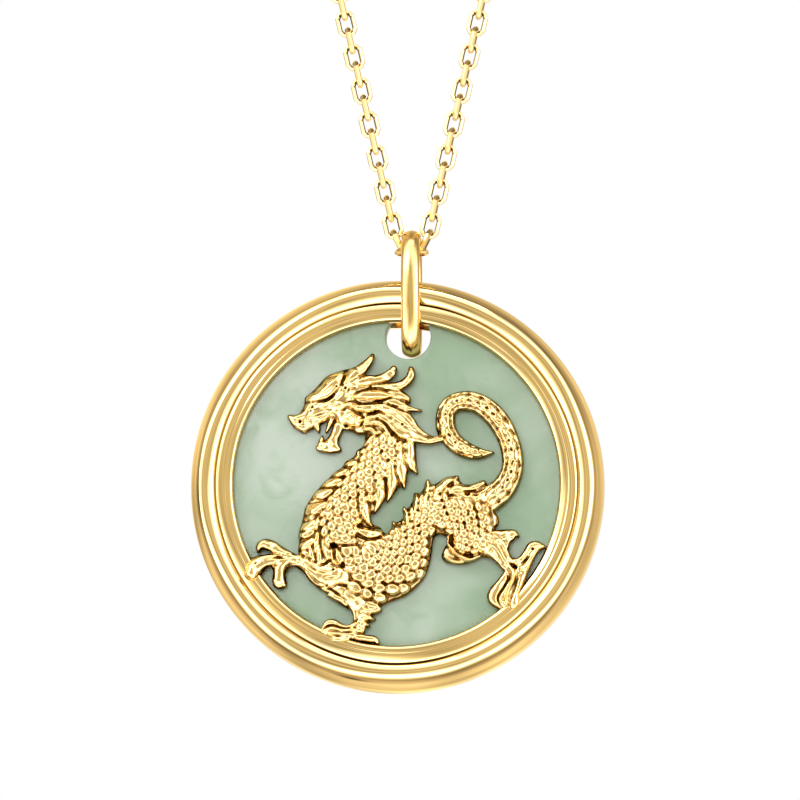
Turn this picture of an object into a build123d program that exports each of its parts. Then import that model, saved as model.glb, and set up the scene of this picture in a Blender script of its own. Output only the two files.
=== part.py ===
# Dragon pendant necklace: a jade disc in a moulded gold frame, with a cast dragon
# soldered across it, hanging by an oval bail from a fine cable chain.
# Millimetres. X runs to the right, the pendant faces -Y, Z is up.
# The origin is the place where the loop of chain hangs, under the clasp at its top.

import math
import os

from build123d import *

# Chain
chain_length = 457.0
strand_angle = 12.85  # each straight strand from the vertical, in degrees
link_wire = 0.32
link_inner_length = 1.48
link_inner_width = 0.83
link_gap = 0.12  # between the wires of two neighbouring links
middle_link_inner_length = 1.9
links_each_side = 20  # links modelled one by one on each side of the middle link
first_link_lean = 26.0  # lean of the two links beside the bail, in degrees
hidden_chain_diameter = 1.2
chain_end_gap = 0.3  # from the hidden chain's end to what carries it
link_end_steps = 5  # flats around each rounded end of a link
wire_sides = 5

# Clasp and end ring
clasp_ring_radius = 2.0  # middle of its wire
clasp_wire = 0.9
eyelet_radius = 0.65
eyelet_wire = 0.4
end_ring_radius = 1.1
end_ring_wire = 0.4
ring_gap = 0.1  # from the end ring to the clasp's wire
thumb_nub_length = 0.6
thumb_nub_width = 0.6
thumb_nub_angle = 50.0  # from the clasp's right, upwards

# Bail
bail_length = 9.9  # outside, top to bottom
bail_wire_width = 1.43
bail_wire_depth = 0.8
bail_side_clearance = 0.35  # from each leg to the frame
bail_top_gap = 0.1  # from the bail to the middle link

# Frame, from the window outwards
window_radius = 12.57
inner_bead_width = 0.76
outer_bead_width = 0.66
ridge_inner_width = 0.76  # from the groove to the ridge's crest
ridge_outer_width = 1.25  # from the crest to the outer edge
frame_front_depth = 2.1  # from the disc's mid plane forward to the ridge's crest
frame_back_depth = 1.7  # from the same plane to the flat back
back_edge_round = 0.25
groove_depth = 0.75  # below the crest
bead_drop = 0.12  # bead crests below the ridge's crest
bead_line_drop = 0.48  # line between the beads, below the ridge's crest
lip_edge_drop = 0.6  # inner bead's inner edge, below the ridge's crest

# Jade disc
jade_thickness = 2.2
jade_front_depth = 0.9  # from the mid plane forward to the jade's face
jade_front_rim = 0.33  # jade held under the window's lip
jade_back_rim = 0.4  # jade held under the lip at the back
setting_gap = 0.05
hole_radius = 1.74
hole_cover = 0.69  # part of the hole that the window's lip covers
hole_offset = 0.89  # hole's centre to the right of the disc's centre
disc_offset = 1.13  # disc's centre to the left of the bail
bail_hole_gap = 0.19  # from the bail's lower end to the hole's lower edge

# Dragon
relief_gap = 0.08  # from the jade's face to the dragon's back
relief_height = 1.4  # back of the dragon to the height called 100 below

# What follows from these sizes
link_half_length = (link_inner_length + link_wire) / 2
link_half_width = (link_inner_width + link_wire) / 2
link_outer_half_width = link_half_width + link_wire / 2
link_hook = link_inner_length / 2 - link_wire / 2 - link_gap
link_pitch = link_hook + link_half_length
middle_hook = middle_link_inner_length / 2 - link_wire / 2 - link_gap
strand = math.radians(strand_angle)
lean = math.radians(first_link_lean)
loop_radius = chain_length / (2 / math.tan(strand) + math.pi + 2 * strand)
loop_top = clasp_ring_radius + clasp_wire / 2
loop_centre = loop_top - loop_radius
middle_link_height = loop_centre - loop_radius / math.sin(strand)
end_ring_place = clasp_ring_radius - clasp_wire / 2 - ring_gap - end_ring_wire / 2 + end_ring_radius
eyelet_place = clasp_ring_radius + clasp_wire / 2 + eyelet_radius - eyelet_wire / 4
groove_radius = window_radius + inner_bead_width + outer_bead_width
crest_radius = groove_radius + ridge_inner_width
frame_outer_radius = crest_radius + ridge_outer_width
jade_radius = window_radius + jade_front_rim
back_window_radius = jade_radius - jade_back_rim
frame_middle = (frame_back_depth - frame_front_depth) / 2
bail_half_depth = (frame_back_depth + frame_front_depth) / 2 + bail_side_clearance + bail_wire_depth / 2
bail_top = middle_link_height + link_outer_half_width + bail_top_gap + bail_wire_depth
bail_bottom = bail_top - bail_length
hole_height = window_radius + hole_cover - hole_radius  # above the disc's centre
disc_height = bail_bottom - bail_hole_gap + hole_radius - hole_height
relief_back = -(jade_front_depth + relief_gap)
unit = window_radius / 100  # one hundredth of the window's radius

# Across each piece of the relief: place from one edge to the other, height, as shares
broad_dome = [(0.0, 0.0), (0.05, 0.55), (0.25, 0.9), (0.5, 1.0), (0.75, 0.9), (0.95, 0.55), (1.0, 0.0)]
narrow_dome = [(0.0, 0.0), (0.12, 0.7), (0.5, 1.0), (0.88, 0.7), (1.0, 0.0)]

# Masses of the dragon, section by section. Each row is one edge point, the other
# edge point and the height. Places are in hundredths of the window's radius from
# the disc's centre (across, up), heights in hundredths of the relief's height.
masses = {
    "head": [
        (-67.3, 43.0, -66.3, 41.0, 30),
        (-61.0, 43.5, -62.0, 34.5, 50),
        (-58.0, 46.5, -57.5, 31.8, 60),
        (-56.5, 53.5, -53.0, 33.5, 70),
        (-50.0, 59.5, -48.0, 36.0, 78),
        (-43.0, 67.0, -41.0, 40.0, 85),
        (-37.0, 69.2, -36.5, 38.0, 90),
        (-30.0, 71.0, -32.0, 33.2, 92),
        (-21.0, 73.0, -24.0, 30.5, 88),
        (-14.0, 65.0, -17.0, 30.3, 80),
        (-6.0, 60.0, -8.0, 34.0, 70),
        (-1.0, 56.0, -3.0, 40.0, 55),
    ],
    "lower_jaw": [
        (-38.5, 38.0, -32.0, 35.5, 60),
        (-41.0, 31.0, -34.5, 29.0, 60),
        (-44.0, 27.5, -35.5, 25.0, 60),
        (-48.5, 26.5, -34.0, 20.9, 55),
        (-50.0, 22.5, -40.0, 19.3, 45),
    ],
    "neck_and_body": [
        (-20.0, 44.0, 5.0, 40.0, 70),
        (-19.5, 30.0, 8.0, 27.0, 86),
        (-21.0, 24.0, 8.0, 22.0, 94),
        (-27.0, 17.0, 6.0, 15.0, 98),
        (-34.0, 10.5, 2.0, 8.0, 100),
        (-42.0, 4.0, -3.0, 1.0, 102),
        (-50.0, -5.0, -8.0, -5.0, 104),
        (-55.5, -13.0, -12.0, -11.0, 104),
        (-58.0, -23.0, -15.0, -17.0, 104),
        (-60.3, -32.0, -16.0, -22.0, 102),
        (-60.0, -43.0, -14.0, -25.5, 102),
        (-53.0, -53.5, -11.5, -27.0, 102),
        (-43.5, -66.0, -9.5, -28.5, 102),
        (-27.0, -77.0, -7.5, -29.2, 102),
        (-10.0, -75.0, -4.5, -27.8, 102),
        (3.0, -69.5, -1.0, -24.5, 102),
        (13.0, -62.0, 3.0, -21.0, 102),
        (19.5, -51.0, 8.0, -14.0, 102),
        (22.0, -37.0, 13.0, -6.0, 102),
        (25.0, -31.0, 21.0, 0.0, 100),
        (30.5, -33.5, 29.0, 3.0, 90),
    ],
    "haunch": [
        (23.0, -1.0, 26.0, -30.5, 80),
        (30.0, 3.5, 31.0, -34.0, 104),
        (36.0, 3.5, 28.6, -42.0, 108),
        (42.0, 0.5, 32.0, -48.0, 110),
        (48.0, 0.5, 43.0, -48.0, 110),
        (55.0, -2.0, 51.0, -44.8, 104),
        (62.0, -4.0, 58.5, -45.0, 90),
        (63.0, -12.0, 62.5, -36.0, 70),
    ],
}

# Narrow members, point by point: across, up, half the width, height, in the same
# hundredths. Each runs from its root to its tip.
members = {
    "brow": [(-54.0, 51.5, 2.2, 88), (-46.0, 58.0, 5.2, 104), (-38.0, 63.0, 5.8, 108), (-32.0, 66.5, 2.6, 96)],
    "upper_tooth": [(-50.0, 37.0, 1.8, 50), (-48.2, 32.4, 0.7, 36)],
    "fang": [(-40.2, 41.0, 1.8, 50), (-43.4, 32.2, 0.7, 36)],
    "lower_tooth": [(-46.5, 25.0, 1.6, 50), (-46.0, 30.2, 0.6, 36)],
    "front_horn": [(-30, 64, 3.2, 80), (-22, 69.5, 3.9, 100), (-17.5, 74, 2.3, 80), (-14.6, 79.8, 0.8, 50)],
    "middle_horn": [(-26, 61.5, 2.8, 85), (-15, 63, 3.4, 100), (-7, 65, 2.4, 80), (-1.8, 71, 0.9, 50)],
    "back_horn": [(-13, 58, 2.6, 85), (-3, 59, 2.7, 84), (5, 61, 2.1, 74), (8.8, 65, 1.9, 64), (8.9, 71, 0.9, 46)],
    "ear_leaf": [(-25, 54, 2.6, 92), (-13, 53.6, 3.8, 108), (-3, 53.5, 1.6, 86)],
    "cheek_leaf": [(-22, 44, 2.4, 92), (-14, 45.5, 2.8, 104), (-5, 48, 1.0, 84)],
    "cheek_curl": [(-16, 38, 2.0, 92), (-10, 37, 2.0, 98), (-6, 34, 1.8, 98), (-5, 28, 0.9, 90)],
    "round_lock": [(-6, 54.5, 3.0, 80), (4, 53, 2.8, 70), (11, 51, 0.9, 46)],
    "pointed_lock": [(-4, 51, 2.8, 76), (5, 47.5, 2.3, 66), (15.4, 45.3, 0.7, 42)],
    "sweeping_lock": [
        (-9.0, 44.0, 4.5, 84),
        (-2.0, 38.5, 6.2, 104),
        (6.0, 33.0, 6.0, 94),
        (13.0, 29.0, 4.4, 78),
        (20.0, 26.6, 2.0, 62),
        (30.0, 27.4, 1.2, 50),
    ],
    "chest_plate_1": [(-31.5, 14.0, 1.5, 88), (-27.5, 12.5, 2.0, 108), (-23.5, 11.0, 1.0, 104)],
    "chest_plate_2": [(-37.5, 8.5, 1.5, 88), (-32.5, 6.0, 2.2, 110), (-28.0, 4.0, 1.0, 106)],
    "chest_plate_3": [(-43.5, 2.5, 1.5, 88), (-38.0, -1.0, 2.4, 112), (-33.0, -3.0, 1.0, 108)],
    "chest_plate_4": [(-49.5, -4.0, 1.5, 88), (-43.5, -8.0, 2.6, 114), (-39.0, -9.5, 1.0, 110)],
    "chest_plate_5": [(-54.5, -11.5, 1.5, 88), (-48.5, -15.0, 2.8, 114), (-43.5, -16.5, 1.0, 110)],
    "chest_plate_6": [(-57.0, -19.0, 1.5, 88), (-51.5, -22.0, 2.8, 114), (-46.5, -22.5, 1.0, 110)],
    "chest_plate_7": [(-59.0, -28.0, 1.5, 88), (-53.5, -29.0, 2.6, 112), (-48.5, -28.5, 1.0, 108)],
    "chest_plate_8": [(-59.3, -36.0, 1.5, 88), (-54.0, -36.0, 2.6, 112), (-49.5, -34.5, 1.0, 108)],
    "neck_blade_1": [(7.5, 25, 3.4, 90), (9.8, 15, 3.0, 80), (12.0, 6.3, 0.7, 48)],
    "neck_blade_2": [(1.5, 16, 3.4, 96), (3.8, 6, 2.8, 80), (4.6, -2.5, 0.7, 48)],
    "neck_blade_3": [(-3.5, 9, 3.4, 98), (-4.5, -1, 2.8, 80), (-5.9, -10.5, 0.7, 48)],
    "neck_blade_4": [(-10.5, 0, 3.4, 100), (-12.2, -9, 2.8, 84), (-13.6, -17.4, 0.7, 50)],
    "back_spike_1": [(1.5, -28.0, 3.0, 80), (-3.3, -21.8, 0.6, 46)],
    "back_spike_2": [(7.0, -19.5, 3.0, 80), (3.8, -12.8, 0.6, 46)],
    "back_spike_3": [(13.5, -11.5, 3.0, 80), (10.7, -4.4, 0.6, 46)],
    "back_spike_4": [(21.0, -4.5, 3.0, 80), (18.9, 3.2, 0.6, 46)],
    "back_fin_1": [(26.0, -5.0, 3.2, 108), (32.0, 2.0, 2.8, 90), (38.3, 5.1, 0.8, 50)],
    "back_fin_2": [(40.0, -5.0, 3.2, 112), (49.0, -2.2, 2.6, 92), (54.8, 2.1, 0.8, 50)],
    "rear_tuft_1": [(57.0, -16.0, 2.8, 84), (63.2, -20.7, 0.7, 48)],
    "rear_tuft_2": [(56.0, -22.5, 2.8, 84), (64.3, -24.7, 0.7, 48)],
    "tail": [
        (52.0, -12.0, 8.0, 96),
        (59.0, -8.0, 8.0, 96),
        (65.5, -2.5, 7.4, 90),
        (70.0, 6.0, 6.7, 86),
        (71.0, 16.0, 6.6, 84),
        (68.5, 27.0, 6.5, 82),
        (63.5, 37.0, 6.6, 80),
        (56.0, 45.5, 6.6, 80),
        (47.0, 50.5, 6.2, 78),
        (38.0, 50.5, 5.9, 78),
        (31.5, 46.5, 5.8, 76),
        (29.6, 39.0, 6.0, 76),
        (31.0, 32.0, 6.0, 76),
        (35.5, 25.5, 5.8, 74),
        (43.0, 20.7, 5.2, 70),
        (51.0, 18.7, 3.7, 62),
        (59.3, 19.3, 0.7, 42),
    ],
    "heel_spur": [(56, -30, 4.5, 86), (65, -31.5, 3.2, 74), (71.5, -30, 1.7, 62), (74.2, -32.2, 0.7, 46)],
    "hind_shank": [(52.0, -36.0, 7.0, 92), (61.0, -40.0, 6.2, 82), (68.0, -48.0, 5.4, 76), (74.5, -54.0, 4.4, 72)],
    "hind_upper_toe": [
        (73.0, -50.0, 4.4, 70),
        (79.5, -45.0, 3.9, 70),
        (82.8, -40.0, 3.7, 68),
        (87.0, -37.6, 2.2, 60),
        (90.6, -39.4, 0.8, 46),
    ],
    "hind_shin": [(80.5, -47.0, 3.6, 70), (76.5, -57.0, 4.4, 74), (72.5, -67.0, 3.6, 76), (71.0, -75.0, 3.0, 76)],
    "hind_left_toe": [
        (67.5, -55.0, 2.6, 66),
        (61.5, -63.5, 2.9, 66),
        (58.8, -68.5, 3.3, 66),
        (61.5, -73.3, 2.6, 62),
        (68.0, -75.5, 1.8, 62),
    ],
    "hind_middle_toe": [(67.0, -50.0, 2.4, 84), (70.0, -57.0, 2.2, 88), (69.0, -63.0, 2.2, 86), (65.5, -72.5, 1.8, 76)],
    "hind_solder_drop": [(66.0, -74.0, 2.6, 70), (71.3, -74.0, 4.8, 92), (76.4, -73.0, 2.4, 70)],
    "raised_arm": [
        (-36.0, -58.0, 8.5, 104),
        (-48.0, -57.0, 6.6, 90),
        (-55.0, -50.8, 4.8, 80),
        (-62.0, -46.4, 3.9, 74),
        (-70.0, -45.6, 4.4, 74),
        (-78.0, -46.8, 4.2, 74),
        (-85.0, -50.0, 5.0, 76),
        (-90.0, -54.0, 5.2, 92),
        (-93.2, -56.5, 2.8, 74),
    ],
    "raised_top_toe": [(-68, -43.5, 3.2, 72), (-75, -38.6, 3.2, 72), (-80.5, -36.4, 3.2, 70), (-84.2, -38.3, 2.2, 62),
                       (-84.8, -41.2, 1.0, 46)],
    "raised_down_toe": [(-72.2, -47.0, 3.6, 76), (-71.8, -54.0, 3.1, 74), (-71.8, -59.5, 4.2, 70), (-71.6, -63.0, 2.4, 54)],
    "standing_leg": [(-25, -68, 10.0, 100), (-23.5, -77, 5.6, 88), (-22.5, -84, 4.4, 78), (-22.5, -93, 3.6, 70)],
    "heel_tuft_1": [(-19.0, -79.0, 2.6, 78), (-10.6, -77.8, 0.8, 48)],
    "heel_tuft_2": [(-19.0, -83.5, 2.2, 74), (-13.8, -82.3, 0.8, 46)],
    "foot_upper_roll": [(-25, -88, 2.2, 66), (-33, -87.2, 2.1, 66), (-40, -85.0, 2.2, 66), (-45.2, -88.5, 1.6, 60)],
    "foot_left_sole": [(-21.0, -91.5, 3.0, 70), (-30.0, -92.8, 3.6, 76), (-39.0, -92.2, 3.8, 78), (-46.0, -92.6, 2.0, 72)],
    "foot_right_toe": [(-25.0, -92.8, 2.0, 72), (-18.0, -94.4, 2.2, 72), (-11.4, -95.2, 2.6, 66)],
}


def disc_point(across, up, height):
    """A point of the relief, from hundredths to millimetres."""
    return Vector(
        -disc_offset + across * unit,
        relief_back - height / 100 * relief_height,
        disc_height + up * unit,
    )


def solid_of(polygons):
    """The closed solid bounded by flat polygons, each a list of points."""
    faces = [Face(Wire.make_polygon(points, close=True)) for points in polygons]
    return Solid(Shell(faces))


def skin(sections, bottom):
    """A solid through open sections with equal counts of points, with flat ends."""
    polygons = [sections[0], sections[-1], bottom]
    for near, far in zip(sections, sections[1:]):
        for i in range(len(near) - 1):
            polygons.append([near[i], near[i + 1], far[i + 1]])
            polygons.append([near[i], far[i + 1], far[i]])
    return solid_of(polygons)


def relief(rows, dome):
    """A raised band whose rows give its two edges and its height."""
    sections = []
    for ax, az, bx, bz, height in rows:
        sections.append(
            [disc_point(ax + (bx - ax) * s, az + (bz - az) * s, height * h) for s, h in dome]
        )
    bottom = [section[0] for section in sections] + [section[-1] for section in reversed(sections)]
    return skin(sections, bottom)


def band_rows(points):
    """Edges on both sides of a centre line, square to it at each point."""
    rows = []
    last = len(points) - 1
    for i, (x, z, half, height) in enumerate(points):
        back = points[max(i - 1, 0)]
        ahead = points[min(i + 1, last)]
        along = Vector(ahead[0] - back[0], ahead[1] - back[1]).normalized()
        rows.append((x - along.Y * half, z + along.X * half, x + along.Y * half, z - along.X * half, height))
    return rows


def chain_link(inner_length):
    """One oval link in the XZ plane, its length along Z, cut with flats."""
    path = []
    straight = (inner_length - link_inner_width) / 2
    turn = math.pi / link_end_steps
    reach = link_half_width / math.cos(turn / 2)
    for end in (1, -1):
        for k in range(link_end_steps):
            angle = turn * (k + 0.5) + (0 if end > 0 else math.pi)
            path.append((reach * math.cos(angle), end * straight + reach * math.sin(angle)))
    count = len(path)
    sections = []
    for i, (x, z) in enumerate(path):
        before = Vector(x - path[i - 1][0], z - path[i - 1][1]).normalized()
        after = Vector(path[(i + 1) % count][0] - x, path[(i + 1) % count][1] - z).normalized()
        along = (before + after).normalized()
        widen = 1 / before.dot(along)
        ring = []
        for k in range(wire_sides):
            angle = 2 * math.pi * (k + 0.5) / wire_sides
            out = link_wire / 2 * math.cos(angle) * widen
            ring.append(Vector(x + along.Y * out, link_wire / 2 * math.sin(angle), z - along.X * out))
        sections.append(ring)
    polygons = []
    for i in range(count):
        near = sections[i]
        far = sections[(i + 1) % count]
        for k in range(wire_sides):
            after = (k + 1) % wire_sides
            polygons.append([near[k], near[after], far[after], far[k]])
    return solid_of(polygons)


def strand_places(side):
    """Centre, tilt and quarter turn of each link of one strand, upwards from the bail."""
    x = side * (middle_hook + link_half_length * math.sin(lean))
    z = middle_link_height + link_half_length * math.cos(lean)
    places = [(x, z, first_link_lean, 90)]
    x += side * (link_hook * math.sin(lean) + link_half_length * math.sin(strand))
    z += link_hook * math.cos(lean) + link_half_length * math.cos(strand)
    for k in range(1, links_each_side):
        places.append((x, z, strand_angle, 90 if k % 2 == 0 else 0))
        x += side * link_pitch * math.sin(strand)
        z += link_pitch * math.cos(strand)
    return places


def make_chain_front():
    """The links that show, each threaded through the next."""
    link = chain_link(link_inner_length)
    links = [Pos(0, 0, middle_link_height) * Rot(0, 90, 0) * chain_link(middle_link_inner_length)]
    for side in (-1, 1):
        for x, z, tilt, quarter_turn in strand_places(side):
            links.append(Pos(x, 0, z) * Rot(0, side * tilt, 0) * Rot(0, 0, quarter_turn) * link)
    return Compound(children=links)


def hidden_strand(side, end_place):
    """The rest of one strand: straight, then round the top of the loop to the clasp."""
    x, z, _, _ = strand_places(side)[-1]
    reach = link_half_length + link_wire / 2 + chain_end_gap
    start = Vector(side * (abs(x) + reach * math.sin(strand)), 0, z + reach * math.cos(strand))
    tangent = Vector(side * loop_radius * math.cos(strand), 0, loop_centre - loop_radius * math.sin(strand))
    end_angle = math.acos(end_place / loop_radius)
    end = Vector(side * end_place, 0, loop_centre + loop_radius * math.sin(end_angle))
    half_angle = (end_angle - strand) / 2
    midway = Vector(side * loop_radius * math.cos(half_angle), 0, loop_centre + loop_radius * math.sin(half_angle))
    path = Line(start, tangent) + ThreePointArc(tangent, midway, end)
    section = Plane(origin=start, z_dir=tangent - start) * Circle(hidden_chain_diameter / 2)
    return sweep(section, path=path)


def make_chain_back():
    """Both hidden strands of the chain, as plain rods of the chain's thickness."""
    left_end = eyelet_place + eyelet_radius + eyelet_wire / 2 + chain_end_gap
    right_end = end_ring_place + end_ring_radius + end_ring_wire / 2 + chain_end_gap
    return Compound(children=[hidden_strand(-1, left_end), hidden_strand(1, right_end)])


def make_clasp():
    """A plain closed spring ring with its eyelet and thumb nub."""
    upright = Pos(0, 0, loop_top) * Rot(90, 0, 0)
    ring = upright * Torus(clasp_ring_radius, clasp_wire / 2)
    eyelet = Pos(-eyelet_place, 0, 0) * upright * Torus(eyelet_radius, eyelet_wire / 2)
    nub_reach = clasp_ring_radius + (clasp_wire + thumb_nub_length) / 2
    nub = Cylinder(thumb_nub_width / 2, clasp_wire / 2 + thumb_nub_length)
    nub = Pos(0, 0, loop_top) * Rot(0, 90 - thumb_nub_angle, 0) * Pos(0, 0, nub_reach - clasp_wire / 4) * nub
    return ring + eyelet + nub


def make_end_ring():
    """The ring through the clasp that ends the right strand."""
    return Pos(end_ring_place, 0, loop_top) * Torus(end_ring_radius, end_ring_wire / 2)


def make_bail():
    """An oval ring of round wire, through the disc's hole and over the frame's edge."""
    front = frame_middle - bail_half_depth
    back = frame_middle + bail_half_depth
    high = bail_top - bail_wire_depth / 2
    low = bail_bottom + bail_wire_depth / 2
    high_end = high - bail_half_depth
    low_end = low + bail_half_depth
    path = Line((0, front, low_end), (0, front, high_end))
    path += ThreePointArc((0, front, high_end), (0, frame_middle, high), (0, back, high_end))
    path += Line((0, back, high_end), (0, back, low_end))
    path += ThreePointArc((0, back, low_end), (0, frame_middle, low), (0, front, low_end))
    section = Pos(0, front, low_end) * Ellipse(bail_wire_width / 2, bail_wire_depth / 2)
    return sweep(section, path=path)


def frame_profile():
    """Half of the frame's section: distance from the disc's axis, then depth."""
    crest = -frame_front_depth
    groove = (groove_radius, crest + groove_depth)
    bead_line = (window_radius + inner_bead_width, crest + bead_line_drop)
    outer_crest = (groove_radius - outer_bead_width / 2, crest + bead_drop)
    inner_crest = (window_radius + inner_bead_width / 2, crest + bead_drop)
    lip_edge = (window_radius, crest + lip_edge_drop)
    seat_radius = jade_radius + setting_gap
    seat_front = -jade_front_depth - setting_gap
    seat_back = jade_thickness - jade_front_depth + setting_gap
    widest = frame_back_depth - back_edge_round
    back_edge = frame_outer_radius - back_edge_round
    outline = Line((back_window_radius, frame_back_depth), (back_edge, frame_back_depth))
    outline += EllipticalCenterArc((back_edge, widest), back_edge_round, back_edge_round, 90, arc_size=-90)
    outline += EllipticalCenterArc(
        (crest_radius, widest), ridge_outer_width, widest + frame_front_depth, 0, arc_size=-90
    )
    outline += EllipticalCenterArc((crest_radius, groove[1]), ridge_inner_width, groove_depth, 270, arc_size=-90)
    outline += ThreePointArc(groove, outer_crest, bead_line)
    outline += ThreePointArc(bead_line, inner_crest, lip_edge)
    outline += Polyline(
        lip_edge,
        (window_radius, seat_front),
        (seat_radius, seat_front),
        (seat_radius, seat_back),
        (back_window_radius, seat_back),
        (back_window_radius, frame_back_depth),
    )
    return make_face(outline)


def make_dragon():
    """The cast relief: its masses and members run together."""
    pieces = [relief(rows, broad_dome) for rows in masses.values()]
    pieces += [relief(band_rows(points), narrow_dome) for points in members.values()]
    return pieces[0].fuse(*pieces[1:])


def make_frame_with_dragon():
    """The moulded frame, with the dragon soldered to it at three feet."""
    ring = Pos(-disc_offset, 0, disc_height) * revolve(frame_profile(), Axis.Y, 360)
    return ring.fuse(make_dragon())


def make_jade_disc():
    """The flat jade disc, drilled near its top for the bail."""
    middle_depth = jade_thickness / 2 - jade_front_depth
    along_y = Rot(90, 0, 0)
    disc = Pos(-disc_offset, middle_depth, disc_height) * along_y * Cylinder(jade_radius, jade_thickness)
    hole_place = Pos(hole_offset - disc_offset, middle_depth, disc_height + hole_height)
    return disc - hole_place * along_y * Cylinder(hole_radius, 2 * jade_thickness)


parts = {
    "frame_with_dragon": make_frame_with_dragon(),
    "jade_disc": make_jade_disc(),
    "bail": make_bail(),
    "chain_front": make_chain_front(),
    "chain_back": make_chain_back(),
    "clasp": make_clasp(),
    "end_ring": make_end_ring(),
}

os.makedirs("parts", exist_ok=True)
for name, shape in parts.items():
    export_step(shape, f"parts/{name}.step")
print(f"the hidden chain's arc has a radius of {loop_radius:.2f}")
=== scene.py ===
import math
import bpy
import numpy as np
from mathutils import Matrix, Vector
from mathutils.geometry import delaunay_2d_cdt


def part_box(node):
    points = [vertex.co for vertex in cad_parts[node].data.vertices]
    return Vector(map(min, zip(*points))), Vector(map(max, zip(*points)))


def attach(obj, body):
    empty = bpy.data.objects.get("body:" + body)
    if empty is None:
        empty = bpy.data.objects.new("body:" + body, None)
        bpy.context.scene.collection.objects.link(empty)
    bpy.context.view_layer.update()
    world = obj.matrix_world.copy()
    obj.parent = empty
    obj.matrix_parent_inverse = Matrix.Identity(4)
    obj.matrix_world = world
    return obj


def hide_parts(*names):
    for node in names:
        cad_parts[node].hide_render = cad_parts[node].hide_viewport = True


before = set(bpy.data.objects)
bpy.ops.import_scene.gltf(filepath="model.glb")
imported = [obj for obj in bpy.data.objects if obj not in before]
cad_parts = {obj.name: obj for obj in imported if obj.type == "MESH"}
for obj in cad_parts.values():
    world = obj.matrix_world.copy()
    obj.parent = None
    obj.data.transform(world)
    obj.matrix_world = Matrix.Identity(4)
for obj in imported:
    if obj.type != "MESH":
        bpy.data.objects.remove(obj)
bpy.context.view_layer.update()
mm = 0.001
print("frame loaded")


def nodeBox(node):
    # a node's lowest and highest corner in millimetres
    return [np.array(corner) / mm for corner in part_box(node)]


def srgb(red, green, blue):
    # a colour of 0 to 255 a channel, turned into linear light
    c = np.array([red, green, blue]) / 255.0
    c = np.where(c <= 0.04045, c / 12.92, ((c + 0.055) / 1.055) ** 2.4)
    return (float(c[0]), float(c[1]), float(c[2]), 1.0)


def gridFaces(rows, columns, closeRows=False, closeColumns=False, flip=False):
    # the quads of a grid of points, row after row, with either way closed on itself
    r = np.arange(rows if closeRows else rows - 1)[:, None]
    c = np.arange(columns if closeColumns else columns - 1)[None, :]
    r1, c1 = (r + 1) % rows, (c + 1) % columns
    quads = np.stack([r * columns + c, r * columns + c1, r1 * columns + c1, r1 * columns + c], axis=-1)
    quads = quads.reshape(-1, 4)
    return quads[:, ::-1] if flip else quads


def joined(parts):
    # several shapes as one: their points one after the other, their faces counted on
    shift = np.cumsum([0] + [len(part[0]) for part in parts[:-1]])
    return np.vstack([part[0] for part in parts]), np.vstack([part[1] + n for part, n in zip(parts, shift)])


def makePiece(name, body, slot, replaced, points, quads, material, triangles=(), smooth=True, paintedShade=None):
    # points in millimetres go into a mesh with foreach_set, first the quads and then the
    # triangles; the last argument gives each point's painted shade, which darkens the finish
    mesh = bpy.data.meshes.new(name)
    quads = np.asarray(quads, np.int32).reshape(-1, 4)
    triangles = np.asarray(triangles, np.int32).reshape(-1, 3)
    mesh.vertices.add(len(points))
    mesh.vertices.foreach_set("co", (np.asarray(points) * mm).astype(np.float32).ravel())
    corners = np.concatenate([quads.ravel(), triangles.ravel()])
    mesh.loops.add(len(corners))
    mesh.loops.foreach_set("vertex_index", corners.astype(np.int32))
    sizes = np.concatenate([np.full(len(quads), 4), np.full(len(triangles), 3)])
    mesh.polygons.add(len(sizes))
    mesh.polygons.foreach_set("loop_start", (np.cumsum(sizes) - sizes).astype(np.int32))
    mesh.polygons.foreach_set("loop_total", sizes.astype(np.int32))
    mesh.update(calc_edges=True)
    mesh.validate()
    mesh.polygons.foreach_set("use_smooth", np.full(len(mesh.polygons), smooth))
    if paintedShade is not None:
        shade = mesh.attributes.new("paintedShade", "FLOAT", "POINT")
        shade.data.foreach_set("value", np.asarray(paintedShade, np.float32).ravel())
    piece = bpy.data.objects.new(name, mesh)
    bpy.context.scene.collection.objects.link(piece)
    mesh.materials.append(material)
    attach(piece, body)
    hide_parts(*replaced)
    return piece


# finishes: two colours and two roughnesses that patches shift between, noise scales per
# metre, the grain's height and the colour of the painted shade in hollows and dark spots

goldLook = {
    "polished": {"light": srgb(252, 226, 170), "deep": srgb(246, 213, 151), "rough": (0.04, 0.10),
                 "patch": 260.0, "grain": 5200.0, "grainDepth": 0.0016 * mm, "paintedShade": srgb(58, 38, 12)},
    "cast": {"light": srgb(251, 223, 166), "deep": srgb(240, 206, 141), "rough": (0.09, 0.17),
             "patch": 420.0, "grain": 9000.0, "grainDepth": 0.004 * mm, "paintedShade": srgb(104, 74, 30)},
    "satin": {"light": srgb(246, 214, 148), "deep": srgb(238, 199, 128), "rough": (0.17, 0.24),
              "patch": 260.0, "grain": 5200.0, "grainDepth": 0.0016 * mm, "paintedShade": srgb(58, 38, 12)},
    "wire": {"light": srgb(252, 226, 170), "deep": srgb(243, 210, 146), "rough": (0.06, 0.14),
             "patch": 900.0, "grain": 7000.0, "grainDepth": 0.0015 * mm, "paintedShade": srgb(62, 42, 14)},
}
goldEdge = srgb(252, 238, 200)  # the metal's tint where it is seen edge on


def addNode(tree, kind, inputs=None, **values):
    # a node with these settings; an input is given a constant value or another's socket
    node = tree.nodes.new(kind)
    for key, value in values.items():
        setattr(node, key, value)
    for key, value in (inputs or {}).items():
        setInput(tree, node, key, value)
    return node


def setInput(tree, node, key, value):
    # a socket is linked to the input, any other value becomes its constant
    if isinstance(value, bpy.types.NodeSocket):
        tree.links.new(value, node.inputs[key])
    else:
        node.inputs[key].default_value = value


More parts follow.
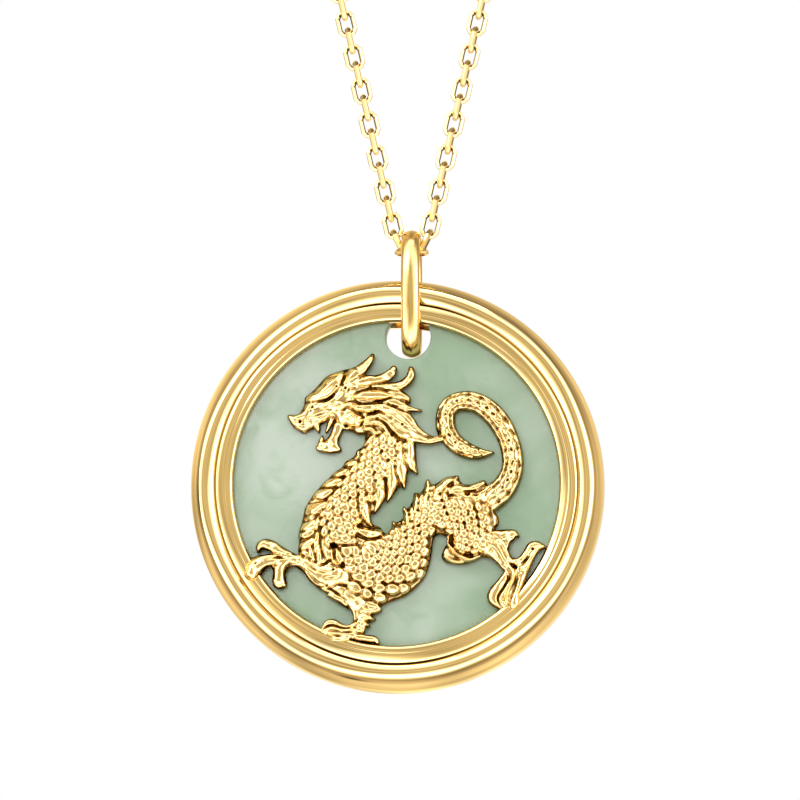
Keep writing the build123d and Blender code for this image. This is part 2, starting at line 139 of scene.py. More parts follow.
def newFinish(name):
    # a new material, its node tree and its shader
    material = bpy.data.materials.new(name)
    material.use_nodes = True
    return material, material.node_tree, material.node_tree.nodes["Principled BSDF"]


def mapped(tree, value, low, high, newLow=0.0, newHigh=1.0):
    # a value's range turned into another one
    return addNode(tree, "ShaderNodeMapRange", {"Value": value, "From Min": low, "From Max": high,
                                                "To Min": newLow, "To Max": newHigh}).outputs["Result"]


def colourMix(tree, share, first, second):
    # first where the share is nought and second where it is one
    inputs = {"Factor": share, 6: first, 7: second}  # its inputs 6 and 7 are the colours
    return addNode(tree, "ShaderNodeMix", inputs, data_type="RGBA").outputs[2]


def goldFinish(name, look):
    # soft patches shift the colour and the roughness, painted shade darkens hollows and
    # other marked places, and a fine grain lifts the surface a little
    material, tree, shader = newFinish(name)
    place = addNode(tree, "ShaderNodeTexCoord").outputs["Object"]
    patch = addNode(tree, "ShaderNodeTexNoise", {"Vector": place, "Scale": look["patch"], "Detail": 3.0,
                                                 "Roughness": 0.6}).outputs["Fac"]
    grain = addNode(tree, "ShaderNodeTexNoise", {"Vector": place, "Scale": look["grain"], "Detail": 4.0,
                                                 "Roughness": 0.65}).outputs["Fac"]
    # each point's painted shade mixes the colour towards the finish's dark shade colour
    paintedShade = addNode(tree, "ShaderNodeAttribute", attribute_name="paintedShade").outputs["Fac"]
    colour = colourMix(tree, patch, look["light"], look["deep"])
    bump = addNode(tree, "ShaderNodeBump", {"Height": grain, "Strength": 0.6, "Distance": look["grainDepth"]})
    for key, value in {
        "Base Color": colourMix(tree, paintedShade, colour, look["paintedShade"]),
        "Roughness": mapped(tree, patch, 0.3, 0.7, *look["rough"]),
        "Normal": bump.outputs["Normal"],
        "Metallic": 1.0,
        "Specular Tint": goldEdge,
    }.items():
        setInput(tree, shader, key, value)
    return material


jadeLook = {
    "pale": srgb(136, 147, 138),
    "green": srgb(108, 128, 108),
    "moss": srgb(92, 117, 92),
    # how much is added to the clouds at the pale place and beyond its reach
    "palePlace": (-0.0095, 0.0, -0.2155),
    "paleReach": (0.001, 0.013),
    "paleLift": (0.26, -0.06),
    "cloudScale": 120.0,
    "cloudRange": (0.38, 0.70),  # where the clouds are wholly green and wholly pale
    "veinScale": 320.0,
    "mossRange": (0.52, 0.78),
    "mossShare": 0.5,
    "roughness": 0.22,
    "refraction": 1.6,
    "glow": 0.35,  # the share of light that goes into the stone, how deep and its tint
    "depth": 1.2 * mm,
    "glowTint": (0.6, 1.0, 0.6),
    "unevenness": 0.01 * mm,
}


def jadeFinish():
    # clouds of pale and green jade, paler round one place, with finer mossy patches in them
    look = jadeLook
    material, tree, shader = newFinish("polishedJade")
    place = addNode(tree, "ShaderNodeTexCoord").outputs["Object"]
    cloud = addNode(tree, "ShaderNodeTexNoise", {"Vector": place, "Scale": look["cloudScale"], "Detail": 4.0,
                                                 "Roughness": 0.55, "Distortion": 0.4}).outputs["Fac"]
    vein = addNode(tree, "ShaderNodeTexNoise", {"Vector": place, "Scale": look["veinScale"], "Detail": 5.0,
                                                "Roughness": 0.6, "Distortion": 0.8}).outputs["Fac"]
    away = addNode(tree, "ShaderNodeVectorMath", {0: place, 1: look["palePlace"]}, operation="DISTANCE")
    lift = mapped(tree, away.outputs["Value"], *look["paleReach"], *look["paleLift"])
    both = addNode(tree, "ShaderNodeMath", {0: cloud, 1: lift}, operation="ADD").outputs[0]
    base = colourMix(tree, mapped(tree, both, *look["cloudRange"]), look["green"], look["pale"])
    moss = mapped(tree, vein, *look["mossRange"], 0.0, look["mossShare"])
    bump = addNode(tree, "ShaderNodeBump", {"Height": vein, "Strength": 0.15, "Distance": look["unevenness"]})
    for key, value in {
        "Base Color": colourMix(tree, moss, base, look["moss"]),
        "Normal": bump.outputs["Normal"],
        "Roughness": look["roughness"],
        "Subsurface Weight": look["glow"],
        "Subsurface Radius": look["glowTint"],
        "Subsurface Scale": look["depth"],
        "IOR": look["refraction"],
    }.items():
        setInput(tree, shader, key, value)
    return material


polishedGold = goldFinish("polishedGold", goldLook["polished"])
satinGold = goldFinish("satinGold", goldLook["satin"])
castGold = goldFinish("castGold", goldLook["cast"])
wireGold = goldFinish("wireGold", goldLook["wire"])
jadeStone = jadeFinish()
print("finishes made")


# the disc sets the pendant's place: its box gives the centre
discLow, discHigh = nodeBox("jade_disc")
discCentre = (discLow + discHigh) / 2
frameLow, frameHigh = nodeBox("frame_with_dragon")

ringForm = {
    "windowRadius": 12.57,
    "grooveRadius": 13.99,
    "crestRadius": 14.75,
    "outerRadius": (frameHigh[0] - frameLow[0]) / 2,
    "crestDepth": -2.1,
    "backDepth": 1.7,
    "shoulder": 0.55,
    "grooveDepth": 0.34,
    "beadDrop": 0.10,
    "beadCrown": 0.12,
    "beadRound": 0.07,  # how soon the bead rounds off, as a share of its width
    "lipRound": 0.05,
    "lipEdgeDrop": 0.5,
    "lipStep": 0.07,  # the back lip is so much narrower than the window
    "line": (0.53, 0.05, 0.03),  # a faint line on the bead: place and width as shares, depth
    "seatClear": 0.05,
    "backEdge": 0.25,
    # rows of the section: outer back corner, ridge, slope into the groove and bead
    "rows": (9, 37, 21, 49),
    "ridgeGather": 1.5,  # above one, the ridge's rows lie closer at its foot
    "segments": 480,
    "sharpFrom": 50,
    "frontSpan": 2.2,  # swells fade out so far behind the crest
    # painted shade in the groove, deeper in stretches of painted dark reflection: middle and half length in
    # degrees clockwise from the top
    "grooveShade": 0.25,
    "darkGroove": [(4, 26), (185, 40)],
    "darkRise": 1.6,
    "darkWidth": 0.10,
    "windowShade": (0.7, 0.06),  # share and width of the painted shade at the window's edge
    "shadeDepth": 0.7,  # both end this far behind the crest
    # painted dark reflections on the ridge: degrees, radius, half length in degrees, half width, share
    "darkSpots": [(193, 15.46, 5, 0.08, 1.0), (49, 15.28, 6, 0.07, 0.5), (266, 15.3, 7, 0.11, 0.45)],
    # broad swells, which are bell curves: degrees, radius, half length, half width, height
    "swells": [(313, 15.55, 28, 0.6, 0.16), (244, 15.55, 15, 0.6, 0.13), (188, 15.55, 21, 0.6, 0.16),
               (146, 15.5, 19, 0.55, 0.13), (22, 15.5, 17, 0.5, 0.10), (70, 15.5, 14, 0.5, 0.10),
               (270, 15.2, 12, 0.4, -0.06), (104, 12.75, 20, 0.75, 0.24), (189, 12.75, 30, 0.75, -0.2),
               (300, 13.4, 20, 0.35, 0.04), (40, 13.4, 14, 0.3, 0.04)],
    # faint waves: depth, length across, times round, how far they wander, where they begin
    "waveShares": (0.6, 0.4),  # their mean strength, and by how much it swells and fades
    "waves": [(0.034, 3.1, 3, 1.3, 0.4), (0.020, 1.7, 5, 1.1, 2.1), (0.004, 0.9, 9, 1.1, 4.0)],
}


def ringSection(form):
    # the frame's section as rows of radius and depth: back, outer edge, ridge, groove, bead,
    # inner wall and the seat that the disc lies in
    crest, outer, groove = form["crestDepth"], form["outerRadius"], form["grooveRadius"]
    edge, back, top = form["backEdge"], form["backDepth"], form["crestRadius"]
    window, lip = form["windowRadius"], form["windowRadius"] - form["lipStep"]
    seatRadius = (discHigh[0] - discLow[0]) / 2 + form["seatClear"]
    seatFront, seatBack = discLow[1] - form["seatClear"], discHigh[1] + form["seatClear"]
    cornerRows, ridgeRows, slopeRows, beadRows = form["rows"]
    bend = np.linspace(0, math.pi / 2, cornerRows)
    backCorner = np.stack([outer - edge + edge * np.sin(bend), back - edge + edge * np.cos(bend)], 1)
    steep = math.pi / 2 * np.linspace(0, 1, ridgeRows) ** form["ridgeGather"]
    ridge = np.stack([top + (outer - top) * np.cos(steep),
                      back - edge - (back - edge - crest) * np.sin(steep) ** form["shoulder"]], 1)
    bend = 2 * math.atan(form["grooveDepth"] / (top - groove)) * np.linspace(0, 1, slopeRows)
    fall = np.stack([top - (top - groove) * np.sin(bend) / math.sin(bend[-1]),
                     crest + form["grooveDepth"] * (1 - np.cos(bend)) / (1 - math.cos(bend[-1]))], 1)
    # the bead between groove and window: a low crown, a faint line and two rounded shoulders
    s = 0.5 - 0.5 * np.cos(np.linspace(0, math.pi, beadRows))
    place, width, depth = form["line"]
    level = form["beadDrop"] + form["beadCrown"] * (2 * s - 1) ** 2
    level += depth * np.exp(-((s - place) / width) ** 2)
    end = form["beadDrop"] + form["beadCrown"]
    level += ((form["grooveDepth"] - end) * np.exp(-s / form["beadRound"])
              + (form["lipEdgeDrop"] - end) * np.exp((s - 1) / form["lipRound"]))
    bead = np.stack([groove - (groove - window) * s, crest + level], 1)
    wall = np.array([(window, seatFront), (seatRadius, seatFront), (seatRadius, seatBack), (lip, seatBack)])
    return np.vstack([np.array([(lip, back)]), backCorner, ridge[1:], fall[1:], bead[1:], wall])


def fromMiddle(clock, middle):
    # degrees from the middle of a stretch, between -180 and 180
    return (clock - middle + 180) % 360 - 180


def bellCurve(clock, section, middle, radius, half, width):
    # one at a place on the ring, falling off with the angle and with the radius
    return np.exp(-(fromMiddle(clock, middle) / half) ** 2 - ((section[:, 0] - radius) / width) ** 2)


def makeRing():
    # each row of the section turned about the disc's axis: x = r cos a, z = r sin a. Hand
    # polishing leaves faint waves in the depth: sines of the radius that wander and swell
    # with the angle
    form = ringForm
    section = ringSection(form)
    a = np.linspace(0, 2 * math.pi, form["segments"], endpoint=False)[:, None]
    x = discCentre[0] + section[:, 0] * np.cos(a)
    z = discCentre[2] + section[:, 0] * np.sin(a)
    y = section[:, 1] + 0 * a
    mean, change = form["waveShares"]
    for size, length, turns, drift, phase in form["waves"]:
        swell = mean + change * np.sin((turns + 1) * a + 2 * phase)
        wander = drift * np.sin(turns * a + phase)
        y = y + size * swell * np.sin(2 * math.pi * section[:, 0] / length + wander)
    clock = 90 - np.degrees(a)
    front = np.clip(form["crestDepth"] + form["frontSpan"] - section[:, 1], 0, 1)
    for middle, radius, half, width, height in form["swells"]:
        y = y + height * front * bellCurve(clock, section, middle, radius, half, width)
    points = np.stack([x, y, z], -1).reshape(-1, 3)
    quads = gridFaces(len(a), len(section), True, True)
    # painted shade: the groove, with painted dark reflections in stretches, the window's edge and dark spots
    # on the ridge
    dark = form["grooveShade"] + 0 * a
    for middle, half in form["darkGroove"]:
        away = np.abs(fromMiddle(clock, middle))
        dark = np.maximum(dark, np.clip(form["darkRise"] * (1 - away / half), 0, 1))
    paintedShade = dark * np.exp(-((section[:, 0] - form["grooveRadius"]) / form["darkWidth"]) ** 2)
    share, width = form["windowShade"]
    edge = share * np.exp(-((section[:, 0] - form["windowRadius"]) / width) ** 2)
    paintedShade = np.maximum(paintedShade, edge) * (section[:, 1] < form["crestDepth"] + form["shadeDepth"])
    for middle, radius, half, width, share in form["darkSpots"]:
        paintedShade = np.maximum(paintedShade, share * bellCurve(clock, section, middle, radius, half, width))
    ring = makePiece("moulded_frame", "pendant", "pendant_gold", ["frame_with_dragon"], points, quads,
                     polishedGold, paintedShade=paintedShade)
    ring.data.set_sharp_from_angle(angle=math.radians(form["sharpFrom"]))


makeRing()
print("frame ring made")


jadeForm = {
    "holeRadius": 1.74,
    "holeAcross": 0.89,
    "holeUp": 11.52,
    "chamfer": 0.14,
    "holeChamfer": 0.10,
    "chamferLimit": 0.3,  # at most this share of the stone's width
    "chamferBow": 0.4,  # its middle row lies at this share of it
    "turns": 360,
    "gather": (0.35, 0.65),  # how much the rays gather at both ends, and how much is even
    "rowsAcross": 26,
    "sharpFrom": 35,
}


def makeJade():
    # seen from the hole's axis, each ray carries a closed section: hole wall, front, outer
    # wall and back, between the hole's circle and the disc's edge
    form = jadeForm
    radius = (discHigh[0] - discLow[0]) / 2
    front, back = discLow[1], discHigh[1]
    hole, reach = form["holeRadius"], math.hypot(form["holeAcross"], form["holeUp"])
    away = math.atan2(form["holeUp"], form["holeAcross"])
    # the ray at which the disc's edge is just as far as the hole's wall
    limit = math.acos((radius ** 2 - reach ** 2 - hole ** 2) / (2 * reach * hole))
    side = np.linspace(0, 1, form["turns"])
    spread = 0.5 - 0.5 * np.cos(np.pi * side)
    gathered, even = form["gather"]
    ray = away + limit + (2 * math.pi - 2 * limit) * (gathered * spread + even * side)
    along = reach * np.cos(ray - away)
    edge = -along + np.sqrt(np.maximum(along ** 2 + radius ** 2 - reach ** 2, 0))
    width = np.maximum(edge - hole, 0)[:, None]
    c = np.minimum(form["chamfer"], form["chamferLimit"] * width)
    h = np.minimum(form["holeChamfer"], form["chamferLimit"] * width)
    bow = form["chamferBow"]
    s = np.linspace(0, 1, form["rowsAcross"])[None, :]
    full = np.ones_like(s)
    face = (width - c - h) * s
    r = np.concatenate([0 * c, bow * h, h + face, width - bow * c, width, width, width - bow * c,
                        width - c - face, bow * h, 0 * c], 1) + hole
    y = np.concatenate([front + h, front + bow * h, front * full + 0 * width, front + bow * c, front + c,
                        back - c, back - bow * c, back * full + 0 * width, back - bow * h, back - h], 1)
    x = discCentre[0] + form["holeAcross"] + r * np.cos(ray[:, None])
    z = discCentre[2] + form["holeUp"] + r * np.sin(ray[:, None])
    points = np.stack([x, y, z], -1)
    quads = gridFaces(points.shape[0], points.shape[1], False, True)
    jade = makePiece("jade_stone", "pendant", "jade", ["jade_disc"], points.reshape(-1, 3), quads, jadeStone)
    jade.data.set_sharp_from_angle(angle=math.radians(form["sharpFrom"]))


makeJade()
print("jade disc made")


# The dragon is worked out as a field of heights. Across and up are counted from the window's
# centre in percent of its radius, and a height of 100 is the whole relief.

reliefForm = {
    "step": 0.42,
    "area": (-98, 95, -101.5, 83.5),  # left, right, low, high
    "skirt": 0.9,  # heights run on this far past an outline, for the mesh's edge
    "fringe": 0.7,  # and cuts reach this far past it
    "furrowPast": 0.3,  # a groove beside an edge begins this far inside it
    "plateGroove": 0.9,  # and is so wide beside a plate
    "soften": 1.4,  # the masses melt into each other over this reach
    "softenFrom": 1.5,  # from so far inside the outline
    "softenOver": 2.5,  # and fully after so much more
    "castNoise": ((1.6, 3.0), (0.8, 0.7)),  # reach and height, coarse and fine
    "castSeed": 21,
    "scaleCalm": 0.7,  # the share of it that the scales are spared
    "finalBlur": 0.3,
    "gapToJade": 0.08,  # this and the height are millimetres
    "height": 1.4,
    "shiftAcross": 0.4,  # the whole dragon is shifted and stretched by these
    "shiftUp": -0.55,
    "stretchUp": 1.0065,
    "coreEdge": 0.25,  # a corner counts as inside from this share of a step
    "drawIn": 2,  # outer corners move in by at most so many steps in each pass
    "drawPasses": 3,
    "leastSlope": 0.2,  # keeps a division from nought, as leastMask does
    "hollowReach": 1.7,  # heights are compared with their mean within this reach
    "hollowFringe": 0.5,
    "leastMask": 0.3,
    "hollowDepth": 8.0,  # so far below the mean a place is wholly in painted shade
    "hollowPower": 0.8,
    "rimShade": 0.8,  # painted shade at the back's edge, on the walls below the rim
}


def smoothLine(points, closed=False, spacing=0.8):
    # Catmull-Rom curve through rows of numbers: each span is a cubic whose slope at a
    # row is half the difference of its two neighbours
    p = np.asarray(points, float)
    if closed:
        spans = zip(np.roll(p, 1, 0), p, np.roll(p, -1, 0), np.roll(p, -2, 0))
    else:
        q = np.vstack([2 * p[0] - p[1], p, 2 * p[-1] - p[-2]])
        spans = zip(q[:-3], q[1:-2], q[2:-1], q[3:])
    rows = []
    for a, b, c, d in spans:
        count = max(2, int(np.hypot(*(c - b)[:2]) / spacing) + 1)
        t = (np.arange(count) / count)[:, None]
        rows.append(b + 0.5 * t * (c - a + t * (2 * a - 5 * b + 4 * c - d + t * (3 * (b - c) + d - a))))
    if not closed:
        rows.append(p[-1:])
    return np.vstack(rows)


def lengthAlong(line):
    # how far each row of a line lies from its start
    return np.concatenate([[0], np.cumsum(np.hypot(*np.diff(line[:, :2], axis=0).T))])


def blurred(a, radius):
    # the array averaged with a bell-shaped weight, first along rows and then along columns
    reach = max(1, int(3 * radius))
    k = np.exp(-0.5 * (np.arange(-reach, reach + 1) / radius) ** 2)
    k /= k.sum()
    pad = np.pad(a, reach, mode="edge")
    out = sum(w * pad[:, i:i + a.shape[1]] for i, w in enumerate(k))
    return sum(w * out[i:i + a.shape[0], :] for i, w in enumerate(k))


def toPath(line, uu, vv):
    # distance from each place to a line of rows, with the row's values at its nearest
    # point and on which side the place lies
    best = np.full(uu.shape, 1e9)
    rows = np.zeros(uu.shape + (line.shape[1],))
    side = np.ones(uu.shape)
    for a, b in zip(line[:-1], line[1:]):
        du, dv = b[0] - a[0], b[1] - a[1]
        t = np.clip(((uu - a[0]) * du + (vv - a[1]) * dv) / max(du * du + dv * dv, 1e-9), 0, 1)
        d = np.hypot(uu - a[0] - t * du, vv - a[1] - t * dv)
        near = d < best
        best[near] = d[near]
        rows[near] = a + t[near][:, None] * (b - a)
        side[near] = np.where(du * (vv - a[1]) - dv * (uu - a[0]) >= 0, 1.0, -1.0)[near]
    return best, rows, side


def toOutline(line, uu, vv):
    # signed distance to a closed outline, positive inside
    best = np.full(uu.shape, 1e9)
    inside = np.zeros(uu.shape, bool)
    for a, b in zip(line, np.roll(line, -1, 0)):
        du, dv = b[0] - a[0], b[1] - a[1]
        t = np.clip(((uu - a[0]) * du + (vv - a[1]) * dv) / max(du * du + dv * dv, 1e-9), 0, 1)
        np.minimum(best, np.hypot(uu - a[0] - t * du, vv - a[1] - t * dv), out=best)
        crosses = (a[1] > vv) != (b[1] > vv)
        inside ^= crosses & (uu < a[0] + (vv - a[1]) * du / (dv if dv else 1e-12))
    return np.where(inside, best, -best)


class Relief:
    # a grid of heights, with how far inside the dragon each place lies and how much painted shade it gets
    def __init__(self, step, left, right, low, high):
        self.step = step
        self.u = np.arange(left, right, step)
        self.v = np.arange(low, high, step)
        self.uu, self.vv = np.meshgrid(self.u, self.v)
        self.height = np.zeros_like(self.uu)
        self.inside = np.full_like(self.uu, -9.0)
        self.shade = np.zeros_like(self.uu)

    def window(self, points, margin):
        # the part of the grid that holds these points, as two slices
        p = np.asarray(points, float)[:, :2]
        lo, hi = p.min(0) - margin, p.max(0) + margin
        i0, i1 = np.searchsorted(self.v, [lo[1], hi[1]])
        j0, j1 = np.searchsorted(self.u, [lo[0], hi[0]])
        return slice(i0, i1), slice(j0, j1)


def cut(field, win, amount):
    # lowers the dragon in a window, but nothing beyond its outline
    field.height[win] -= amount * (field.inside[win] > -reliefForm["fringe"])


def plate(field, outline, height, rounding, edge, lay=0, groove=0, ramp=None):
    # a closed outline raised to a height: a wall up to its edge's share, then a quarter
    # round. A ramp gives two places and their heights instead. Laid on what is there, the
    # height counts from a softened copy of it, with a groove around
    line = smoothLine(outline, closed=True)[:, :2]
    win = field.window(line, 4)
    uu, vv, h, inside = field.uu[win], field.vv[win], field.height[win], field.inside[win]
    d = toOutline(line, uu, vv)
    top = height
    if ramp:
        u0, v0, h0, u1, v1, h1 = ramp
        t = ((uu - u0) * (u1 - u0) + (vv - v0) * (v1 - v0)) / ((u1 - u0) ** 2 + (v1 - v0) ** 2)
        t = np.clip(t, 0, 1)
        top = h0 + (h1 - h0) * t * t * (3 - 2 * t)
    x = np.clip(d / rounding, 0, 1)
    shape = top * (edge + (1 - edge) * np.sqrt(1 - (1 - x) ** 2))
    # what a plate covers loses the painted shade beneath it
    field.shade[win][d > 0] = 0
    if lay:
        base = blurred(h, lay / field.step)
        cut(field, win, groove * besideEdge(d, reliefForm["plateGroove"]))
        laid = (d > 0) & (inside > -reliefForm["fringe"])
        np.copyto(h, np.where(laid, np.maximum(base + shape, h), h))
    else:
        np.copyto(h, np.where(d > -reliefForm["skirt"], np.maximum(shape, h), h))
        np.maximum(inside, d, out=inside)


def besideEdge(d, wide):
    # one just outside an edge, falling away from it as a bell curve
    return np.exp(-(np.minimum(d, 0) / wide) ** 2) * (d < reliefForm["furrowPast"])


def strand(field, points, edge, ridge=2.0, lay=0, groove=0, wide=0.9, ribs=0, ribDepth=0.07):
    # a tapered band, point by point across, up, half the width and height: half a
    # superellipse across, whose power is the ridge, over a wall of the edge's share. Ribs
    # are fine lines along it
    line = smoothLine(points)
    win = field.window(line, float(np.max(line[:, 2])) + 4)
    h, inside = field.height[win], field.inside[win]
    d, rows, side = toPath(line, field.uu[win], field.vv[win])
    half, top = np.maximum(rows[..., 2], 0.05), rows[..., 3]
    t = side * d / half
    dome = np.clip(1 - np.clip(np.abs(t), 0, 1) ** ridge, 0, 1) ** (1 / ridge)
    if ribs:
        dome = dome * (1 - ribDepth * (0.5 - 0.5 * np.cos(np.pi * ribs * (t + 1))))
    shape = top * (edge + (1 - edge) * dome)
    out = half - d
    # what a strand covers loses the painted shade beneath it
    field.shade[win][out > 0] = 0
    if groove:
        cut(field, win, groove * besideEdge(out, wide))
    if lay:
        laid = (out > 0) & (inside > -reliefForm["fringe"])
        np.copyto(h, np.where(laid, np.maximum(blurred(h, lay / field.step) + shape, h), h))
    else:
        np.copyto(h, np.where(out > -reliefForm["skirt"], np.maximum(shape, h), h))
        np.maximum(inside, out, out=inside)


def markLine(field, points, width, endShare):
    # a line of across, up and share of the width, one where none is given and less at the
    # ends. Gives the window, each place's share, and its distance as a part of the width
    if len(points[0]) == 2:
        points = [tuple(p) + (1.0,) for p in points]
        points[0] = points[0][:2] + (endShare,)
        points[-1] = points[-1][:2] + (endShare,)
    line = smoothLine(points)
    win = field.window(line, width * 1.5 + 1)
    d, rows, side = toPath(line, field.uu[win], field.vv[win])
    share = np.clip(rows[..., 2], 0.05, 2)
    return win, share, np.clip(d / (width * share), 0, 1)


def crease(field, points, width, depth):
    # a cut line: one minus the square of the distance, squared
    win, share, x = markLine(field, points, width, 0.35)
    cut(field, win, depth * np.minimum(share, 1.2) * (1 - x ** 2) ** 2)


def ridgeLine(field, points, width, lift):
    # a raised line: one minus the square of the distance, to the power of one and a half
    win, share, x = markLine(field, points, width, 0.3)
    cut(field, win, -lift * share * (1 - x ** 2) ** 1.5)


def pit(field, points, radius, depth, stretch=1.0, turn=0.0):
    # a hollow, longer one way by its stretch and turned by degrees
    (u, v), = points
    win = field.window(points, radius * max(stretch, 1) + 1)
    du, dv = field.uu[win] - u, field.vv[win] - v
    c, s = math.cos(math.radians(turn)), math.sin(math.radians(turn))
    x = np.clip(np.hypot((du * c + dv * s) / stretch, -du * s + dv * c) / radius, 0, 1)
    cut(field, win, depth * (1 - x ** 2) ** 2)


scaleForm = {
    "narrower": 0.3,  # the share of its width that a scale loses at its root
    "edgeRound": 0.2,
    "rise": (0.35, 0.65),  # height of the root, and how much the tip rises over it
    "riseOver": 1.9,
    "droop": 0.36,
    "droopPower": 1.25,
    # painted shade at a scale's root; the furrow's place and width as shares of the scale, and its painted
    # shade for each unit of its depth
    "rootShade": 0.5,
    "furrowAt": 1.1,
    "furrowWide": 0.14,
    "furrowShade": 0.11,
    # a band's ground sinks to its full depth this far from its outline
    "sinkOver": 1.5,
    # what a band's jitter is multiplied by for a scale's place, size and turn
    "placeJitter": 0.4,
    "sizeJitter": 0.6,
    "turnJitter": 1.2,
}


def scale(field, base, u, v, heading, length, width, lift, furrow=7.0):
    # a shingle: an oval that rises from its root to its tip, domed and narrower at its
    # root. It lies over what was there and a furrow runs round its tip. Root and furrow are
    # darkened with painted shade, where shade falls between the scales
    form = scaleForm
    win = field.window([(u, v)], max(length, width) * 0.7 + 0.6)
    du, dv = field.uu[win] - u, field.vv[win] - v
    c, s = math.cos(heading), math.sin(heading)
    a = (du * c + dv * s) / (length / 2)
    b = (-du * s + dv * c) / (width / 2)
    b = b / (1 - form["narrower"] * np.clip(-a, 0, 1))
    r = np.hypot(a, b)
    h, shade, inside = field.height[win], field.shade[win], field.inside[win]
    fade = np.clip((1 - r) / form["edgeRound"], 0, 1)
    fade = np.sqrt(fade * (2 - fade)) * (inside > 0.5)
    rise = form["rise"][0] + form["rise"][1] * np.clip((a + 1) / form["riseOver"], 0, 1)
    top = base[win] + lift * rise * (1 - form["droop"] * r ** form["droopPower"])
    h += (np.maximum(top, h) - h) * fade
    # painted shade: dark at the root, none towards the tip
    shade += (form["rootShade"] * np.clip(0.1 - a, 0, 1) - shade) * fade
    rim = np.exp(-((r - form["furrowAt"]) / form["furrowWide"]) ** 2)
    rim = rim * np.clip(a + 0.4, 0, 1) * (inside > 0.8)
    h -= furrow * rim
    shade += (form["furrowShade"] * furrow - shade) * rim


def scaleBand(field, base, band):
    # rows of scales square to a line of across, up and half the rows' length, every second
    # row shifted by half a scale. Their size goes evenly from the first share of grow to the
    # second, and the ground between them sinks first. Roll narrows the scales towards the
    # right of the line, and slant turns them there
    line = smoothLine(band["line"], spacing=0.5)
    run = lengthAlong(line)
    whole = (0, run[-1])
    randomTable = np.random.default_rng(band["seed"])
    border = smoothLine(band["outline"], closed=True)[:, :2]
    win = field.window(border, 2)
    d = toOutline(border, field.uu[win], field.vv[win])
    field.height[win] -= band["sink"] * np.clip(d / scaleForm["sinkOver"], 0, 1)
    places = [0.0]
    while places[-1] < run[-1]:
        places.append(places[-1] + band["pitch"] * np.interp(places[-1], whole, band["grow"]))
    # from the last row to the first, so that each row's tips lie over the next one's roots
    for i, s in reversed(list(enumerate(places[:-1]))):
        swell = np.interp(s, whole, band["grow"])
        u0, v0, half = [np.interp(s, run, line[:, c]) for c in range(3)]
        ahead = [np.interp(min(s + 1, run[-1]), run, line[:, c]) for c in range(2)]
        back = [np.interp(max(s - 1, 0), run, line[:, c]) for c in range(2)]
        heading = math.atan2(ahead[1] - back[1], ahead[0] - back[0])
        count = int(half * (1 + band["roll"]) / (band["across"] * swell)) + 1
        for k in range(-count, count + 1):
            t = (k + (0.5 if i % 2 else 0.0)) * band["across"] * swell
            far = min(max(-t / half, 0.0), 1.2)
            t += 0.5 * band["roll"] * far * far * half
            dj = randomTable.uniform(-band["jitter"], band["jitter"], 4)
            if abs(t) > half:
                continue
            u = u0 - math.sin(heading) * t + scaleForm["placeJitter"] * dj[0] * band["length"]
            v = v0 + math.cos(heading) * t + scaleForm["placeJitter"] * dj[1] * band["length"]
            if toOutline(border, np.array([u]), np.array([v]))[0] < band["margin"]:
                continue
            own = swell * (1 + dj[2] * scaleForm["sizeJitter"])
            turn = dj[3] * scaleForm["turnJitter"]
            scale(field, base, u, v, heading + turn + math.radians(band["turn"] - band["slant"] * far),
                  band["length"] * own, band["width"] * own * (1 - band["roll"] * min(far, 1)),
                  band["lift"] * swell * (1 + dj[0]))


# plates: a closed outline across and up, its height, how far in its edge is rounded and the
# share of the height at which the rounding starts

